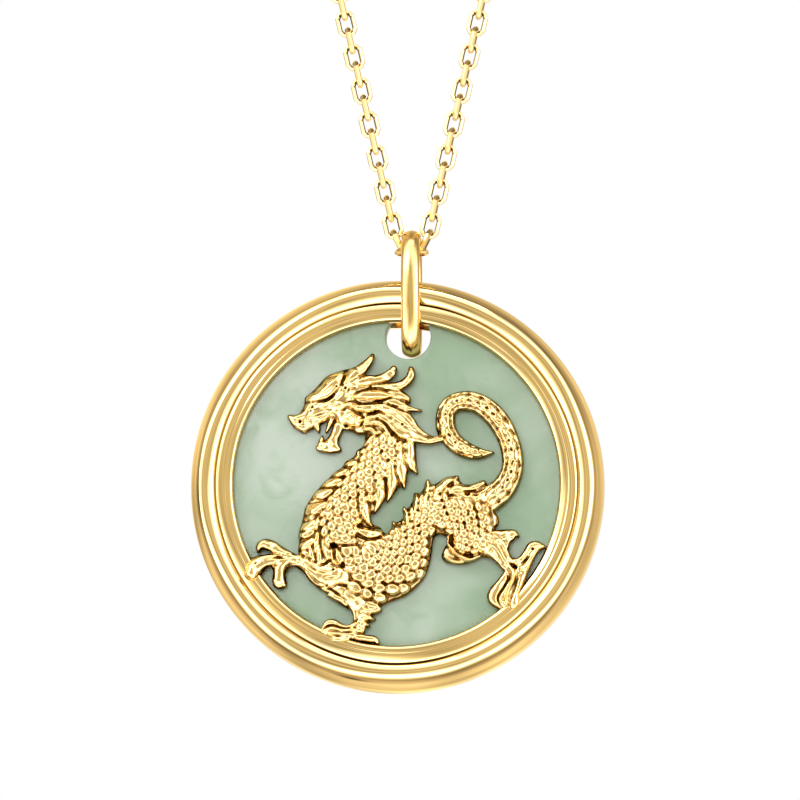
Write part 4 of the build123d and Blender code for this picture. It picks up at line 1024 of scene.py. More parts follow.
marks = {
    "neck": [
        (crease, 1.1, 18, [(-25.5, -21, 0.6), (-22.6, -25, 1.3), (-17, -26.2, 1.5), (-11, -26.6, 1.6),
                           (-6.5, -29.2, 1.0)]),
        (crease, 1.0, 14, [(-26, -29.5), (-22.5, -32.6), (-16, -34.2), (-9, -32.6), (-4.6, -28.6)]),
        (crease, 1.0, 22, [(-41, -36.4, 0.6), (-38.6, -37.8, 1.4), (-33, -38, 1.3), (-26, -37.8, 0.9),
                           (-19, -38.0, 0.6)]),
        (crease, 1.0, 22, [(-40, -37.4, 1.0), (-38.2, -40.5, 1.3), (-38, -45, 1.3), (-36, -48.4, 0.9),
                           (-33.6, -53, 0.5)]),
        (crease, 1.1, 22, [(-38, -45.5), (-41.6, -47.4), (-46, -50), (-50.5, -49), (-54.5, -46)]),
    ],
    "back": [
        (pit, 1.8, 26, [(33.2, -0.8)], 2.2, 40),
        (pit, 1.9, 26, [(43.5, -6.4)], 1.3, 0),
        (pit, 1.7, 20, [(48.5, -6.8)], 1.9, 10),
        (crease, 1.0, 20, [(40.5, -5.0), (45, -4.8), (49.6, -5.0), (54.5, -2.8)]),
        (crease, 0.9, 18, [(30.6, -4.2), (32.2, -7.2), (36, -7.6), (39, -8.8)]),
    ],
    "haunch": [
        (crease, 1.0, 24, [(30.2, -30.5), (31.0, -34.5), (33.4, -37.6), (36.6, -38.0)]),
        (crease, 0.9, 20, [(33.6, -39.8), (38, -43.0), (44, -44.2), (51, -42.4)]),
    ],
    "head": [
        (crease, 1.05, 24, [(-48.5, 50.2, 0.5), (-44, 50.8, 1.0), (-40.6, 52.6, 1.3), (-38.4, 54.8, 0.9)]),
        (ridgeLine, 1.6, 8, [(-32.6, 52.1), (-29.2, 54.6), (-25.3, 52.7), (-22.4, 49.9)]),
        (ridgeLine, 1.6, 8, [(-34.3, 46.5), (-30.4, 48.9), (-26.4, 47.6), (-24.2, 44.8)]),
        (ridgeLine, 1.5, 7, [(-31, 57.6), (-27, 59.4), (-22, 58.2)]),
        (ridgeLine, 1.5, 9, [(-37.4, 51.4), (-35.2, 54.0), (-32.8, 56.2)]),
        (ridgeLine, 1.7, 8, [(-33, 40.5), (-29, 42.0), (-25.5, 40.0), (-25, 37.0)]),
        (ridgeLine, 1.8, 8, [(-44, 30.5), (-41.5, 26), (-40.5, 22)]),
        (crease, 1.0, 24, [(-31.6, 49.8, 0.5), (-28, 50.4, 0.8), (-24.4, 50.2, 0.9), (-21, 48.9, 0.9),
                           (-15, 49.2, 1.0), (-9, 50.6, 1.0), (-3, 53.0, 0.7)]),
        (crease, 0.7, 14, [(-41.6, 47.8), (-39, 48.8), (-36.6, 49.4)]),
        (crease, 0.7, 14, [(-34.2, 45.2), (-32, 45.6), (-30.4, 47.2)]),
        (crease, 0.8, 20, [(-27, 45.4), (-25, 43.2), (-21.6, 42.2), (-20.2, 39.4), (-21.6, 36.0),
                           (-24.4, 34.0)]),
        (crease, 0.8, 12, [(-54, 41.2), (-50.4, 42.0), (-46, 43.2), (-42, 44.2)]),
        (crease, 0.9, 18, [(-32.4, 69.4), (-32.4, 66), (-33.4, 62.4), (-35.4, 59.2)]),
        (crease, 0.8, 14, [(-29, 70.6), (-25, 70.6), (-20.4, 66.6)]),
        (crease, 1.8, 7, [(-53.4, 55.6), (-48.6, 59.0), (-44, 63.4), (-38.6, 66.2), (-34.4, 66.8)]),
        (ridgeLine, 1.8, 6, [(-52.6, 53.8), (-46.4, 56.4), (-41.2, 60.6), (-36.8, 64.0)]),
        (crease, 0.9, 6, [(-49.6, 53.6), (-44.6, 55.0), (-40.4, 57.6), (-37, 62.0)]),
        (crease, 0.6, 12, [(-33.4, 57.2), (-33, 60.4), (-30.6, 61.6), (-29, 59.6), (-30, 56.8),
                           (-32, 55.8)]),
        (crease, 0.8, 18, [(-26, 55.4), (-20, 57.4), (-13, 58.6), (-5, 57.2), (2, 56.6)]),
        (crease, 0.8, 20, [(-19.6, 61.2), (-16, 62.0)]),
        (crease, 1.0, 24, [(-18, 42.4, 0.8), (-13, 43.0, 1.0), (-10.6, 44.2, 1.2), (-7, 42.6, 0.8)]),
        (crease, 0.9, 20, [(-5.6, 48.8, 0.6), (-1, 46.8, 1.3), (4, 44.6, 1.2), (8.5, 43.4, 1.0)]),
        (crease, 1.1, 22, [(-11, 39.4, 0.6), (-7, 36.4, 1.3), (-4, 32.6, 1.3), (0, 28.6, 1.0)]),
        (pit, 1.2, 30, [(-31, 35.6)], 2.0, -15),
        (pit, 1.0, 44, [(-59.5, 38.8)]),
        (pit, 0.7, 18, [(-54.6, 40.2)]),
        (pit, 0.9, 26, [(-51.9, 47.5)], 1.2, 70),
        (pit, 0.7, 18, [(-52.9, 45.2)]),
        (pit, 0.9, 28, [(-36.8, 59.6)], 1.3, 50),
        (pit, 0.8, 24, [(-31.6, 58.6)], 1.2, 60),
        (pit, 0.8, 22, [(3.6, 36.2)], 1.5, -40),
        (pit, 1.1, 16, [(-14.2, 36.6)]),
    ],
    "legs": [
        (crease, 1.0, 30, [(69.4, -49.0, 0.8), (71.2, -50.6, 1.5), (72.8, -51.8, 1.1)]),
        (crease, 0.8, 22, [(76.4, -49.6), (79, -47.2), (81.6, -44.0)]),
        (crease, 1.0, 12, [(60, -34), (64, -39), (67, -45), (70, -51)]),
        (crease, 1.0, 12, [(56, -37), (60.5, -41.5), (64, -47.5), (67.4, -52.5)]),
        (crease, 0.9, 24, [(67.6, -55.8), (68.2, -59), (65.6, -63.8), (62.4, -68.4), (62.2, -72.4),
                           (64.8, -76.6)]),
        (crease, 0.8, 16, [(72.8, -55.4), (72.6, -60), (69.6, -66), (68, -72)]),
        (crease, 0.9, 26, [(-76.4, -45.4, 0.6), (-73, -44.8, 1.3), (-70, -45.2, 0.8), (-67.4, -45.6, 0.5)]),
        (crease, 1.0, 12, [(-58, -47), (-52, -51.2), (-46, -54), (-40, -54.4)]),
        (crease, 0.9, 9, [(-60, -49.5), (-54, -54.5), (-48.6, -60), (-44.5, -61.6)]),
        (crease, 0.9, 14, [(-44.6, -57.2), (-40, -57.6), (-35, -56.6)]),
        (crease, 0.9, 24, [(-43.6, -64.6), (-40.4, -64.4), (-36, -67.4), (-30.6, -71.6)]),
        (crease, 0.9, 18, [(-39, -62.8), (-36, -61.8), (-31.6, -62.6), (-29.4, -65.6)]),
        (crease, 0.8, 24, [(-45.4, -88.8), (-42, -87.0), (-38.6, -86.6), (-34, -88.2), (-29.4, -88.2),
                           (-27, -86.4)]),
        (crease, 0.7, 16, [(-40, -89.8), (-33, -90.9), (-29, -90.9), (-26.6, -90.2)]),
        (crease, 0.6, 12, [(-41, -92.8), (-36, -92.9), (-30, -93.6)]),
        (crease, 0.9, 10, [(-24.6, -79), (-24.8, -84), (-26.4, -88)]),
        (pit, 0.9, 30, [(-42.8, -62.4)]),
        (pit, 1.1, 28, [(-38.8, -52.6)]),
        (pit, 0.8, 24, [(-42.5, -92.1)]),
        (pit, 1.0, 26, [(83.2, -40.2)]),
        (pit, 1.0, 30, [(67.2, -75.9)]),
        (pit, 1.1, 30, [(74.5, -77.4)]),
        (pit, 1.2, 34, [(-93.2, -53.0)]),
        (pit, 1.0, 24, [(-91.2, -45.0)]),
        (pit, 0.9, 18, [(-86.4, -48.2)]),
    ],
}


def raisePlates(field, *names):
    # the plates of these names, one after the other
    for name in names:
        plate(field, **plateForm[name])


def layStrands(field, *names):
    # every strand of the groups of these names
    for name in names:
        for line in strandForm[name]["lines"]:
            strand(field, line, **strandForm[name]["look"])


def carve(field, name):
    # every mark of one group
    for kind, width, depth, line, *shape in marks[name]:
        kind(field, line, width, depth, *shape)


def carveTail(field):
    # grooves along the tail, then rows of scales: an outer rim of long strips, a row of long
    # scales, one of small ones and an inner rim
    form = tailForm
    t = smoothLine(form["line"], spacing=0.6)
    run = lengthAlong(t)
    slope = np.gradient(t[:, :2], axis=0)
    slope /= np.hypot(*slope.T)[:, None]
    ground = field.height.copy()
    randomTable = np.random.default_rng(form["seed"])

    def beside(share, s):
        # the place at a length along the tail, aside by a share of its half width
        return (np.interp(s, run, t[:, 0] + slope[:, 1] * t[:, 2] * share),
                np.interp(s, run, t[:, 1] - slope[:, 0] * t[:, 2] * share))

    start, end, count = form["groovePlaces"]
    s = np.linspace(start, run[-1] - end, 3 * count)[::3]
    for share, width, depth in form["grooves"]:
        u, v = beside(share, s)
        crease(field, np.stack([u, v, np.ones(count)], 1), width, depth)
    for share, length, width, pitch, lift, first in form["scales"]:
        for s in np.arange(first, run[-1] - form["bareTip"], pitch):
            s = s + randomTable.uniform(-form["uneven"], form["uneven"]) * pitch
            u, v = beside(share, s)
            heading = np.arctan2(np.interp(s, run, slope[:, 1]), np.interp(s, run, slope[:, 0]))
            grow = np.interp(s, run, t[:, 2]) / form["fullHalf"] * randomTable.uniform(*form["sizes"])
            scale(field, ground - form["scaleSink"], u, v, heading + randomTable.uniform(*form["turns"]),
                  length * (0.6 + 0.4 * grow), width * grow, lift * (0.5 + 0.5 * grow), form["furrow"])


def buildDragon():
    # the masses first, then what lies on them, from the back to the front of the relief
    form = reliefForm
    step = form["step"]
    field = Relief(step, *form["area"])
    raisePlates(field, "body", "haunch", "hindFoot", "arm", "foot")
    for part in tailForm["lengths"]:
        strand(field, tailForm["line"][part], tailForm["edge"])
    raisePlates(field, "lowerJaw", "head")
    # the masses melt into each other, but not at the outline
    soft = blurred(field.height, form["soften"] / step)
    mask = blurred((field.inside > -form["fringe"]).astype(float), form["soften"] / step)
    inner = np.clip((field.inside - form["softenFrom"]) / form["softenOver"], 0, 1)
    field.height += (soft / np.maximum(mask, 0.05) - field.height) * inner
    base = field.height.copy()

    layStrands(field, "chestPlates", "chestFolds")
    for band in scaleBands.values():
        scaleBand(field, base, band)
    layStrands(field, "neckFold")
    carve(field, "neck")
    layStrands(field, "neckBlades", "backSpikes")
    carve(field, "back")
    layStrands(field, "haunchFolds")
    carve(field, "haunch")
    carveTail(field)
    layStrands(field, "hindLeg", "raisedArm", "standingLeg", "toes")
    raisePlates(field, "jaw", "cheek")
    layStrands(field, "lipAndNose")
    raisePlates(field, "brow")
    layStrands(field, "teeth", "locks", "sweeps")
    carve(field, "head")
    carve(field, "legs")

    # the unevenness of a casting, weaker on the scales
    plain = np.ones_like(field.height)
    for band in scaleBands.values():
        win = field.window(band["outline"], 1)
        within = toOutline(np.array(band["outline"], float), field.uu[win], field.vv[win]) > 0
        plain[win] -= form["scaleCalm"] * within * (plain[win] > 0.9)
    randomTable = np.random.default_rng(form["castSeed"])
    for reach, amount in form["castNoise"]:
        noise = blurred(randomTable.normal(size=field.height.shape), reach / step)
        field.height += amount * noise / noise.std() * np.clip(field.inside, 0, 1) * plain
    field.height[:] = blurred(field.height, form["finalBlur"] / step)
    return field


def sample(values, field, u, v):
    # the grid's values between its points, by the four nearest
    fu = np.clip((u - field.u[0]) / field.step, 0, len(field.u) - 1.001)
    fv = np.clip((v - field.v[0]) / field.step, 0, len(field.v) - 1.001)
    j, i = fu.astype(int), fv.astype(int)
    a, b = fu - j, fv - i
    return ((1 - b) * ((1 - a) * values[i, j] + a * values[i, j + 1])
            + b * ((1 - a) * values[i + 1, j] + a * values[i + 1, j + 1]))


def makeDragon():
    # the field's cells that hold some of the dragon become quads, their outer corners are
    # drawn to the outline, and walls and a flat back close the piece
    form = reliefForm
    field = buildDragon()
    print("dragon relief worked out")
    step, inside, height = field.step, field.inside, field.height
    core = inside > form["coreEdge"] * step
    cells = core[:-1, :-1] | core[:-1, 1:] | core[1:, :-1] | core[1:, 1:]
    used = np.zeros(inside.shape, bool)
    for i, j in ((0, 0), (0, 1), (1, 0), (1, 1)):
        used[i:i + cells.shape[0], j:j + cells.shape[1]] |= cells
    number = np.full(inside.shape, -1)
    number[used] = np.arange(used.sum())
    u, v = field.uu[used], field.vv[used]
    outer = ~core[used]
    slopeV, slopeU = np.gradient(inside, step)
    most = form["drawIn"] * step
    for again in range(form["drawPasses"]):
        d = sample(inside, field, u, v)
        gu, gv = sample(slopeU, field, u, v), sample(slopeV, field, u, v)
        size = np.maximum(gu ** 2 + gv ** 2, form["leastSlope"])
        u = np.where(outer, u - np.clip(d, -most, step) * gu / size, u)
        v = np.where(outer, v - np.clip(d, -most, step) * gv / size, v)
    top = sample(height, field, u, v)
    # painted shade: what lies below the mean height of the dragon around it is darkened, as are the scales'
    # roots and furrows, where shade falls
    reach = form["hollowReach"] / step
    mask = blurred((inside > -form["hollowFringe"]).astype(float), reach)
    soft = blurred(height, reach) / np.maximum(mask, form["leastMask"])
    paintedShade = np.clip((sample(soft, field, u, v) - top) / form["hollowDepth"], 0, 1) ** form["hollowPower"]
    paintedShade = np.maximum(paintedShade, sample(field.shade, field, u, v))

    i, j = np.nonzero(cells)
    quads = np.stack([number[i, j], number[i, j + 1], number[i + 1, j + 1], number[i + 1, j]], 1)
    padded = np.pad(cells, 1)
    edges = []
    for di, dj, a, b in ((-1, 0, 0, 1), (0, 1, 1, 2), (1, 0, 2, 3), (0, -1, 3, 0)):
        free = ~padded[i + 1 + di, j + 1 + dj]
        edges.append(quads[free][:, [a, b]])
    edges = np.vstack(edges)
    rim = np.unique(edges)
    count = len(u)
    below = np.full(count, -1)
    below[rim] = count + np.arange(len(rim))
    walls = np.stack([edges[:, 1], edges[:, 0], below[edges[:, 0]], below[edges[:, 1]]], 1)

    # the flat back: triangles between the rim's points, kept where they lie on the dragon
    flat = [Vector((float(x), float(y))) for x, y in zip(u[rim], v[rim])]
    order = np.searchsorted(rim, edges)
    made = delaunay_2d_cdt(flat, [tuple(map(int, e)) for e in order], [], 0, 1e-7, True)
    source = np.array([ids[0] if ids else -1 for ids in made[3]])
    spots = np.array([tuple(p) for p in made[0]])
    flats = np.array(made[2])
    middle = spots[flats].mean(1)
    keep = (sample(inside, field, middle[:, 0], middle[:, 1]) > 0) & (source[flats] >= 0).all(1)
    back = below[rim][source[flats[keep]]]
    p = spots[flats[keep]]
    one, two = p[:, 1] - p[:, 0], p[:, 2] - p[:, 0]
    turn = one[:, 0] * two[:, 1] - one[:, 1] * two[:, 0]
    back = np.where((turn > 0)[:, None], back[:, ::-1], back)

    unit = ringForm["windowRadius"] / 100
    floorDepth = discLow[1] - form["gapToJade"]
    x = discCentre[0] + unit * (form["shiftAcross"] + np.concatenate([u, u[rim]]))
    z = discCentre[2] + unit * (form["shiftUp"] + form["stretchUp"] * np.concatenate([v, v[rim]]))
    depth = floorDepth - form["height"] / 100 * np.maximum(np.concatenate([top, np.zeros(len(rim))]), 0)
    # the walls' lower points get the painted shade of the back's edge
    paintedShade = np.concatenate([paintedShade, np.full(len(rim), form["rimShade"])])
    points, faces = np.stack([x, depth, z], 1), np.vstack([quads, walls])
    piece = makePiece("cast_dragon", "pendant", "pendant_gold", ["frame_with_dragon"], points, faces,
                      castGold, triangles=back, paintedShade=paintedShade)
    # the edges round the front and the back are sharp
    mesh = piece.data
    ends = np.zeros(len(mesh.edges) * 2, np.int32)
    mesh.edges.foreach_get("vertices", ends)
    ends = np.sort(ends.reshape(-1, 2), axis=1)
    key = ends[:, 0].astype(np.int64) * len(mesh.vertices) + ends[:, 1]
    rimEdges = np.sort(np.vstack([edges, below[edges]]), axis=1)
    rimKey = rimEdges[:, 0].astype(np.int64) * len(mesh.vertices) + rimEdges[:, 1]
    sharp = mesh.attributes.new("sharp_edge", "BOOLEAN", "EDGE")
    sharp.data.foreach_set("value", np.isin(key, rimKey))
    triangles = 2 * len(quads) + 2 * len(walls) + len(back)
    print("dragon has", len(mesh.polygons), "faces,", triangles, "triangles")


makeDragon()
print("dragon made")


bailForm = {
    "wireWidth": 1.43,
    "wireDepth": 0.8,
    "bulge": 2.5,
    "crown": 1.7,
    "around": 48,
    "along": 240,
}


def bent(wave, power):
    # a sine or cosine to a power, with its sign kept
    return np.sign(wave) * np.abs(wave) ** power


def makeBail():
    # a crowned section carried round a superellipse in the upright plane, whose size is the
    # node's own box: |y / deep| to the bulge plus |z / tall| to the bulge is one, and the
    # same with the crown across and through the wire
    low, high = nodeBox("bail")
    form = bailForm
    middle = (low + high) / 2
    deep, tall = (high[1:] - low[1:]) / 2 - form["wireDepth"] / 2
    t = np.linspace(0, 2 * math.pi, form["along"], endpoint=False)
    power = 2 / form["bulge"]
    y, z = -deep * bent(np.cos(t), power), tall * bent(np.sin(t), power)
    # even steps along the curve
    steps = np.hypot(np.diff(np.append(y, y[0])), np.diff(np.append(z, z[0])))
    run = np.concatenate([[0], np.cumsum(steps)])
    even = np.arange(form["along"]) / form["along"] * run[-1]
    y, z = np.interp(even, run, np.append(y, y[0])), np.interp(even, run, np.append(z, z[0]))
    slopeY, slopeZ = np.roll(y, -1) - np.roll(y, 1), np.roll(z, -1) - np.roll(z, 1)
    size = np.hypot(slopeY, slopeZ)
    outY, outZ = -slopeZ / size, slopeY / size
    a = np.linspace(0, 2 * math.pi, form["around"], endpoint=False)[None, :]
    crown = 2 / form["crown"]
    out = form["wireDepth"] / 2 * bent(np.cos(a), crown)
    x = np.broadcast_to(form["wireWidth"] / 2 * bent(np.sin(a), crown), (len(y), form["around"]))
    yy = middle[1] + y[:, None] + out * outY[:, None]
    zz = middle[2] + z[:, None] + out * outZ[:, None]
    points = np.stack([middle[0] + x, yy, zz], -1).reshape(-1, 3)
    quads = gridFaces(len(y), form["around"], True, True)
    makePiece("wire_bail", "bail", "bail_gold", ["bail"], points, quads, satinGold)


makeBail()
print("bail made")


chainForm = {
    "length": 457.0,
    "strandAngle": 12.85,
    "wire": 0.32,  # sets the links' places, while their flat wire has its own two widths
    "wireAcross": 0.37,
    "wireDeep": 0.46,
    "innerLength": 1.48,
    "innerWidth": 0.83,
    "middleInnerLength": 1.9,
    "gap": 0.12,
    "linksEachSide": 20,
    "firstLean": 26.0,
    "wireSides": 8,
    "endFlats": 5,
    "backWireSides": 6,
    # painted shade on the inner side of the links' wire
    "innerShade": 1.5,
}
claspForm = {
    "ringRadius": 2.0,
    "wire": 0.9,
    "eyeletRadius": 0.65,
    "eyeletWire": 0.4,
    "eyeletAcross": -3.0,
    "endRingAcross": 2.35,
    "endRingRadius": 1.1,
    "endRingWire": 0.4,
    "linkClear": 0.05,
    # points round the wire and along it: ring, eyelet and end ring
    "ringPoints": (24, 240),
    "eyeletPoints": (16, 56),
    "endRingPoints": (16, 72),
    # the sliding bolt's cuts: degrees, depth as a share of the wire, width in radians
    "boltCuts": (20.0, 75.0, 205.0),
    "cutDepth": 0.10,
    "cutWidth": 0.02,
    # the nub: its place, then its height over the ring and its radius from foot to top
    "nubAngle": 50.0,
    "nub": [(-0.35, 0.22), (0.0, 0.22), (0.25, 0.22), (0.40, 0.30), (0.52, 0.28), (0.585, 0.18), (0.6, 0.0)],
    "nubSides": 24,
}


def linkShape(form, innerLength, sides, flats):
    # one link as a grid: a wire of a few flats carried round an oval whose ends are a few
    # straight cuts; the length lies along z and the width along x
    halfWidth = (form["innerWidth"] + form["wire"]) / 2
    straight = (innerLength - form["innerWidth"]) / 2
    reach = halfWidth / math.cos(math.pi / 2 / flats)
    t = math.pi / 2 / flats + np.arange(flats) * math.pi / flats
    end = np.stack([reach * np.cos(t), straight + reach * np.sin(t)], 1)
    path = np.vstack([end, -end])
    ahead, behind = np.roll(path, -1, 0) - path, path - np.roll(path, 1, 0)
    ahead /= np.hypot(*ahead.T)[:, None]
    behind /= np.hypot(*behind.T)[:, None]
    out = np.stack([ahead[:, 1] + behind[:, 1], -ahead[:, 0] - behind[:, 0]], 1)
    out /= np.hypot(*out.T)[:, None]
    mitre = 1 / np.sum(out * np.stack([ahead[:, 1], -ahead[:, 0]], 1), axis=1)
    a = np.arange(sides) * 2 * math.pi / sides
    across = form["wireAcross"] / 2 * np.cos(a)[None, :] * mitre[:, None]
    x = path[:, 0:1] + out[:, 0:1] * across
    z = path[:, 1:2] + out[:, 1:2] * across
    y = np.broadcast_to(form["wireDeep"] / 2 * np.sin(a)[None, :], x.shape)
    points = np.stack([x, y, z], -1).reshape(-1, 3)
    # painted shade on the wire's inner side, facing into the link, where shade falls
    inner = np.clip(-form["innerShade"] * np.cos(a), 0, 1) + np.zeros(x.shape)
    return points, gridFaces(len(path), sides, True, True, flip=True), inner.ravel()


def placeLinks(shape, places):
    # copies of one link: turned a quarter about its length, leaned in the chain's plane
    # and moved to its place; the places are rows of x, z, lean and quarter
    points, quads, inner = shape
    x0, z0, lean, quarter = [places[:, k][:, None] for k in range(4)]
    c, s = np.cos(quarter), np.sin(quarter)
    x = points[:, 0] * c - points[:, 1] * s
    y = points[:, 0] * s + points[:, 1] * c
    z = np.broadcast_to(points[:, 2], x.shape)
    xx = x0 + x * np.cos(lean) + z * np.sin(lean)
    zz = z0 - x * np.sin(lean) + z * np.cos(lean)
    moved = np.stack([xx, y, zz], -1).reshape(-1, 3)
    faces = (quads[None] + (np.arange(len(places)) * len(points))[:, None, None]).reshape(-1, 4)
    return moved, faces, np.tile(inner, len(places))


def frontPlaces(form, side, strand, middleHeight):
    # the first link leans out of the middle one, the others follow the straight strand
    half = (form["innerLength"] + form["wire"]) / 2
    hook = form["innerLength"] / 2 - form["wire"] / 2 - form["gap"]
    middleHook = form["middleInnerLength"] / 2 - form["wire"] / 2 - form["gap"]
    lean = math.radians(form["firstLean"])
    x, z = middleHook + half * math.sin(lean), middleHeight + half * math.cos(lean)
    rows = [(side * x, z, side * lean, math.pi / 2)]
    x += hook * math.sin(lean) + half * math.sin(strand)
    z += hook * math.cos(lean) + half * math.cos(strand)
    k = np.arange(form["linksEachSide"] - 1)
    pitch = hook + half
    strandRows = np.stack([side * (x + k * pitch * math.sin(strand)), z + k * pitch * math.cos(strand),
                           np.full(len(k), side * strand), np.where(k % 2 == 0, 0, math.pi / 2)], 1)
    return np.vstack([rows, strandRows]), pitch


def hookReach(ring):
    # how far from the loop's top the last link's end lies, in the eyelet or the end ring
    form = claspForm
    return (abs(form[ring + "Across"]) + form[ring + "Radius"] - form[ring + "Wire"] / 2
            - chainForm["wire"] / 2 - form["linkClear"])


def makeChains():
    # two straight strands from the middle link and an arc over them that meets both evenly.
    # Its radius is the whole length over two cotangents and an arc of a half turn and twice
    # the strand's angle
    form = chainForm
    strand = math.radians(form["strandAngle"])
    low, high = nodeBox("end_ring")
    radius = form["length"] / (2 / math.tan(strand) + math.pi + 2 * strand)
    centre = (low[2] + high[2]) / 2 - radius
    middleHeight = centre - radius / math.sin(strand)
    link = linkShape(form, form["innerLength"], form["wireSides"], form["endFlats"])
    middle = linkShape(form, form["middleInnerLength"], form["wireSides"], form["endFlats"])
    plainLink = linkShape(form, form["innerLength"], form["backWireSides"], form["endFlats"])
    half = (form["innerLength"] + form["wire"]) / 2
    frontParts = [placeLinks(middle, np.array([(0, middleHeight, math.pi / 2, math.pi / 2)]))]
    backParts = []
    for side, ring, lastOdd in ((-1, "eyelet", False), (1, "endRing", True)):
        rows, pitch = frontPlaces(form, side, strand, middleHeight)
        frontParts.append(placeLinks(link, rows))
        # the rest: straight to where the arc starts, then round it to the clasp
        x, z = abs(rows[-1, 0]), rows[-1, 1]
        across, up = radius * math.cos(strand) - x, centre - radius * math.sin(strand) - z
        run, lean = math.hypot(across, up), math.atan2(across, up)
        endAngle = math.acos((hookReach(ring) + half) / radius)
        length = run + radius * (endAngle + strand)
        count = int(round(length / pitch))
        if (count % 2 == 1) != lastOdd:
            count += 1 if length / pitch > count else -1
        s = np.arange(1, count + 1) * length / count
        angle = np.clip((s - run) / radius, 0, None) - strand
        bx = np.where(s < run, x + across * s / run, radius * np.cos(angle))
        bz = np.where(s < run, z + up * s / run, centre + radius * np.sin(angle))
        angle = np.where(s < run, -lean, angle)
        k = np.arange(1, count + 1)
        first = (form["linksEachSide"] - 2) % 2
        quarter = np.where((k + first) % 2 == 0, 0, math.pi / 2)
        backParts.append(placeLinks(plainLink, np.stack([side * bx, bz, -side * angle, quarter], 1)))
        print("links behind on side", side, ":", count, "pitch", round(length / count, 4))
    for name, node, parts in (("front_links", "chain_front", frontParts),
                              ("back_links", "chain_back", backParts)):
        # the links' painted shade on the inner side of their wire
        inner = np.concatenate([part[2] for part in parts])
        makePiece(name, "chain", "chain_gold", [node], *joined(parts), wireGold, smooth=False, paintedShade=inner)


makeChains()
print("chains made")


def torus(centre, radius, wire, counts, flat=False, swell=None):
    # a round wire carried round a circle, upright or lying: across = (radius + wire's cosine)
    # times the turn's cosine, up the same with its sine; swell scales the wire along it
    around, along = counts
    t = np.linspace(0, 2 * math.pi, along, endpoint=False)[:, None]
    a = np.linspace(0, 2 * math.pi, around, endpoint=False)[None, :]
    thick = wire / 2 * (swell(t) if swell else 1 + 0 * t)
    r = radius + thick * np.cos(a)
    side = thick * np.sin(a)
    across, up = r * np.cos(t), r * np.sin(t)
    parts = [across, up, side] if flat else [across, side, up]
    points = np.array(centre) + np.stack(parts, -1).reshape(-1, 3)
    return points, gridFaces(along, around, True, True, flip=not flat)


def makeClasp():
    # a spring ring: the hollow ring with the cuts of its sliding bolt, the eyelet and the
    # thumb nub, a rounded pin turned about its own axis
    form = claspForm
    low, high = nodeBox("end_ring")
    level = (low[2] + high[2]) / 2
    cuts = np.radians(form["boltCuts"])

    def swell(t):
        near = np.abs((t - cuts + np.pi) % (2 * np.pi) - np.pi)
        return 1 - form["cutDepth"] * np.exp(-(near / form["cutWidth"]) ** 2).sum(1, keepdims=True)

    middle = (form["eyeletAcross"], 0, level)
    parts = [torus((0, 0, level), form["ringRadius"], form["wire"], form["ringPoints"], swell=swell),
             torus(middle, form["eyeletRadius"], form["eyeletWire"], form["eyeletPoints"])]
    angle = math.radians(form["nubAngle"])
    reach = form["ringRadius"] + form["wire"] / 2
    s, r = np.array(form["nub"]).T
    t = np.linspace(0, 2 * math.pi, form["nubSides"], endpoint=False)[None, :]
    along = (reach + s)[:, None] + 0 * t
    side, deep = r[:, None] * np.cos(t), r[:, None] * np.sin(t)
    x = along * math.cos(angle) - side * math.sin(angle)
    z = level + along * math.sin(angle) + side * math.cos(angle)
    nub = np.stack([x, deep, z], -1).reshape(-1, 3)
    parts.append((nub, gridFaces(len(s), form["nubSides"], False, True, flip=True)))
    makePiece("spring_clasp", "chain", "clasp_gold", ["clasp"], *joined(parts), polishedGold)
    middle = (form["endRingAcross"], 0, level)
    ring = torus(middle, form["endRingRadius"], form["endRingWire"], form["endRingPoints"], flat=True)
    makePiece("jump_ring", "chain", "clasp_gold", ["end_ring"], *ring, wireGold)


makeClasp()
print("clasp made")


stageForm = {
    "floorHeight": -0.36,
    "floorSize": 3.0,
    "floorColour": (0.82, 0.81, 0.79, 1.0),
    "floorRoughness": 0.6,
    "aim": (-0.00091, 0.0, -0.21236),
    "distance": 0.6,
    "azimuth": 2.6,
    "elevation": -7.5,
    "lens": 349.0,
    # place from the pendant, width, height, radiance
    "lights": {
        "key": ((-0.75, -0.95, 0.75), 0.7, 0.5, 3.0),
        "right": ((1.15, -0.65, 0.15), 0.25, 0.9, 2.4),
        "top": ((0.05, -0.35, 1.2), 0.9, 0.3, 2.6),
        "left": ((-1.2, -0.5, -0.1), 0.2, 0.8, 2.2),
        "front": ((-0.05, -1.1, 0.12), 0.6, 0.6, 11.5),
    },
    # the tent's colour from behind, 0, to the front, 1
    "tent": [(0.0, (0.34, 0.315, 0.26)), (0.30, (0.29, 0.255, 0.195)), (0.44, (0.19, 0.16, 0.115)),
             (0.53, (0.125, 0.10, 0.06)), (0.62, (0.31, 0.28, 0.205)), (0.70, (0.76, 0.76, 0.75)),
             (0.81, (1.0, 1.0, 1.0)), (0.895, (0.58, 0.56, 0.50)), (0.95, (0.27, 0.24, 0.165)),
             (1.0, (0.26, 0.23, 0.16))],
    "tentPower": 3.6,
    "foldScale": 1.7,
    "foldPower": (0.75, 1.2),
    # its panels round the line of sight, 0 and 1 below, 0.5 above and 0.75 to the right
    "panels": [(0.0, 1.0), (0.035, 1.0), (0.095, 0.58), (0.15, 0.95), (0.20, 1.0), (0.25, 0.58),
               (0.31, 0.92), (0.37, 1.0), (0.43, 0.95), (0.50, 0.58), (0.57, 0.58), (0.66, 0.76),
               (0.76, 0.80), (0.84, 0.85), (0.90, 1.0), (0.955, 0.75), (1.0, 1.0)],
}


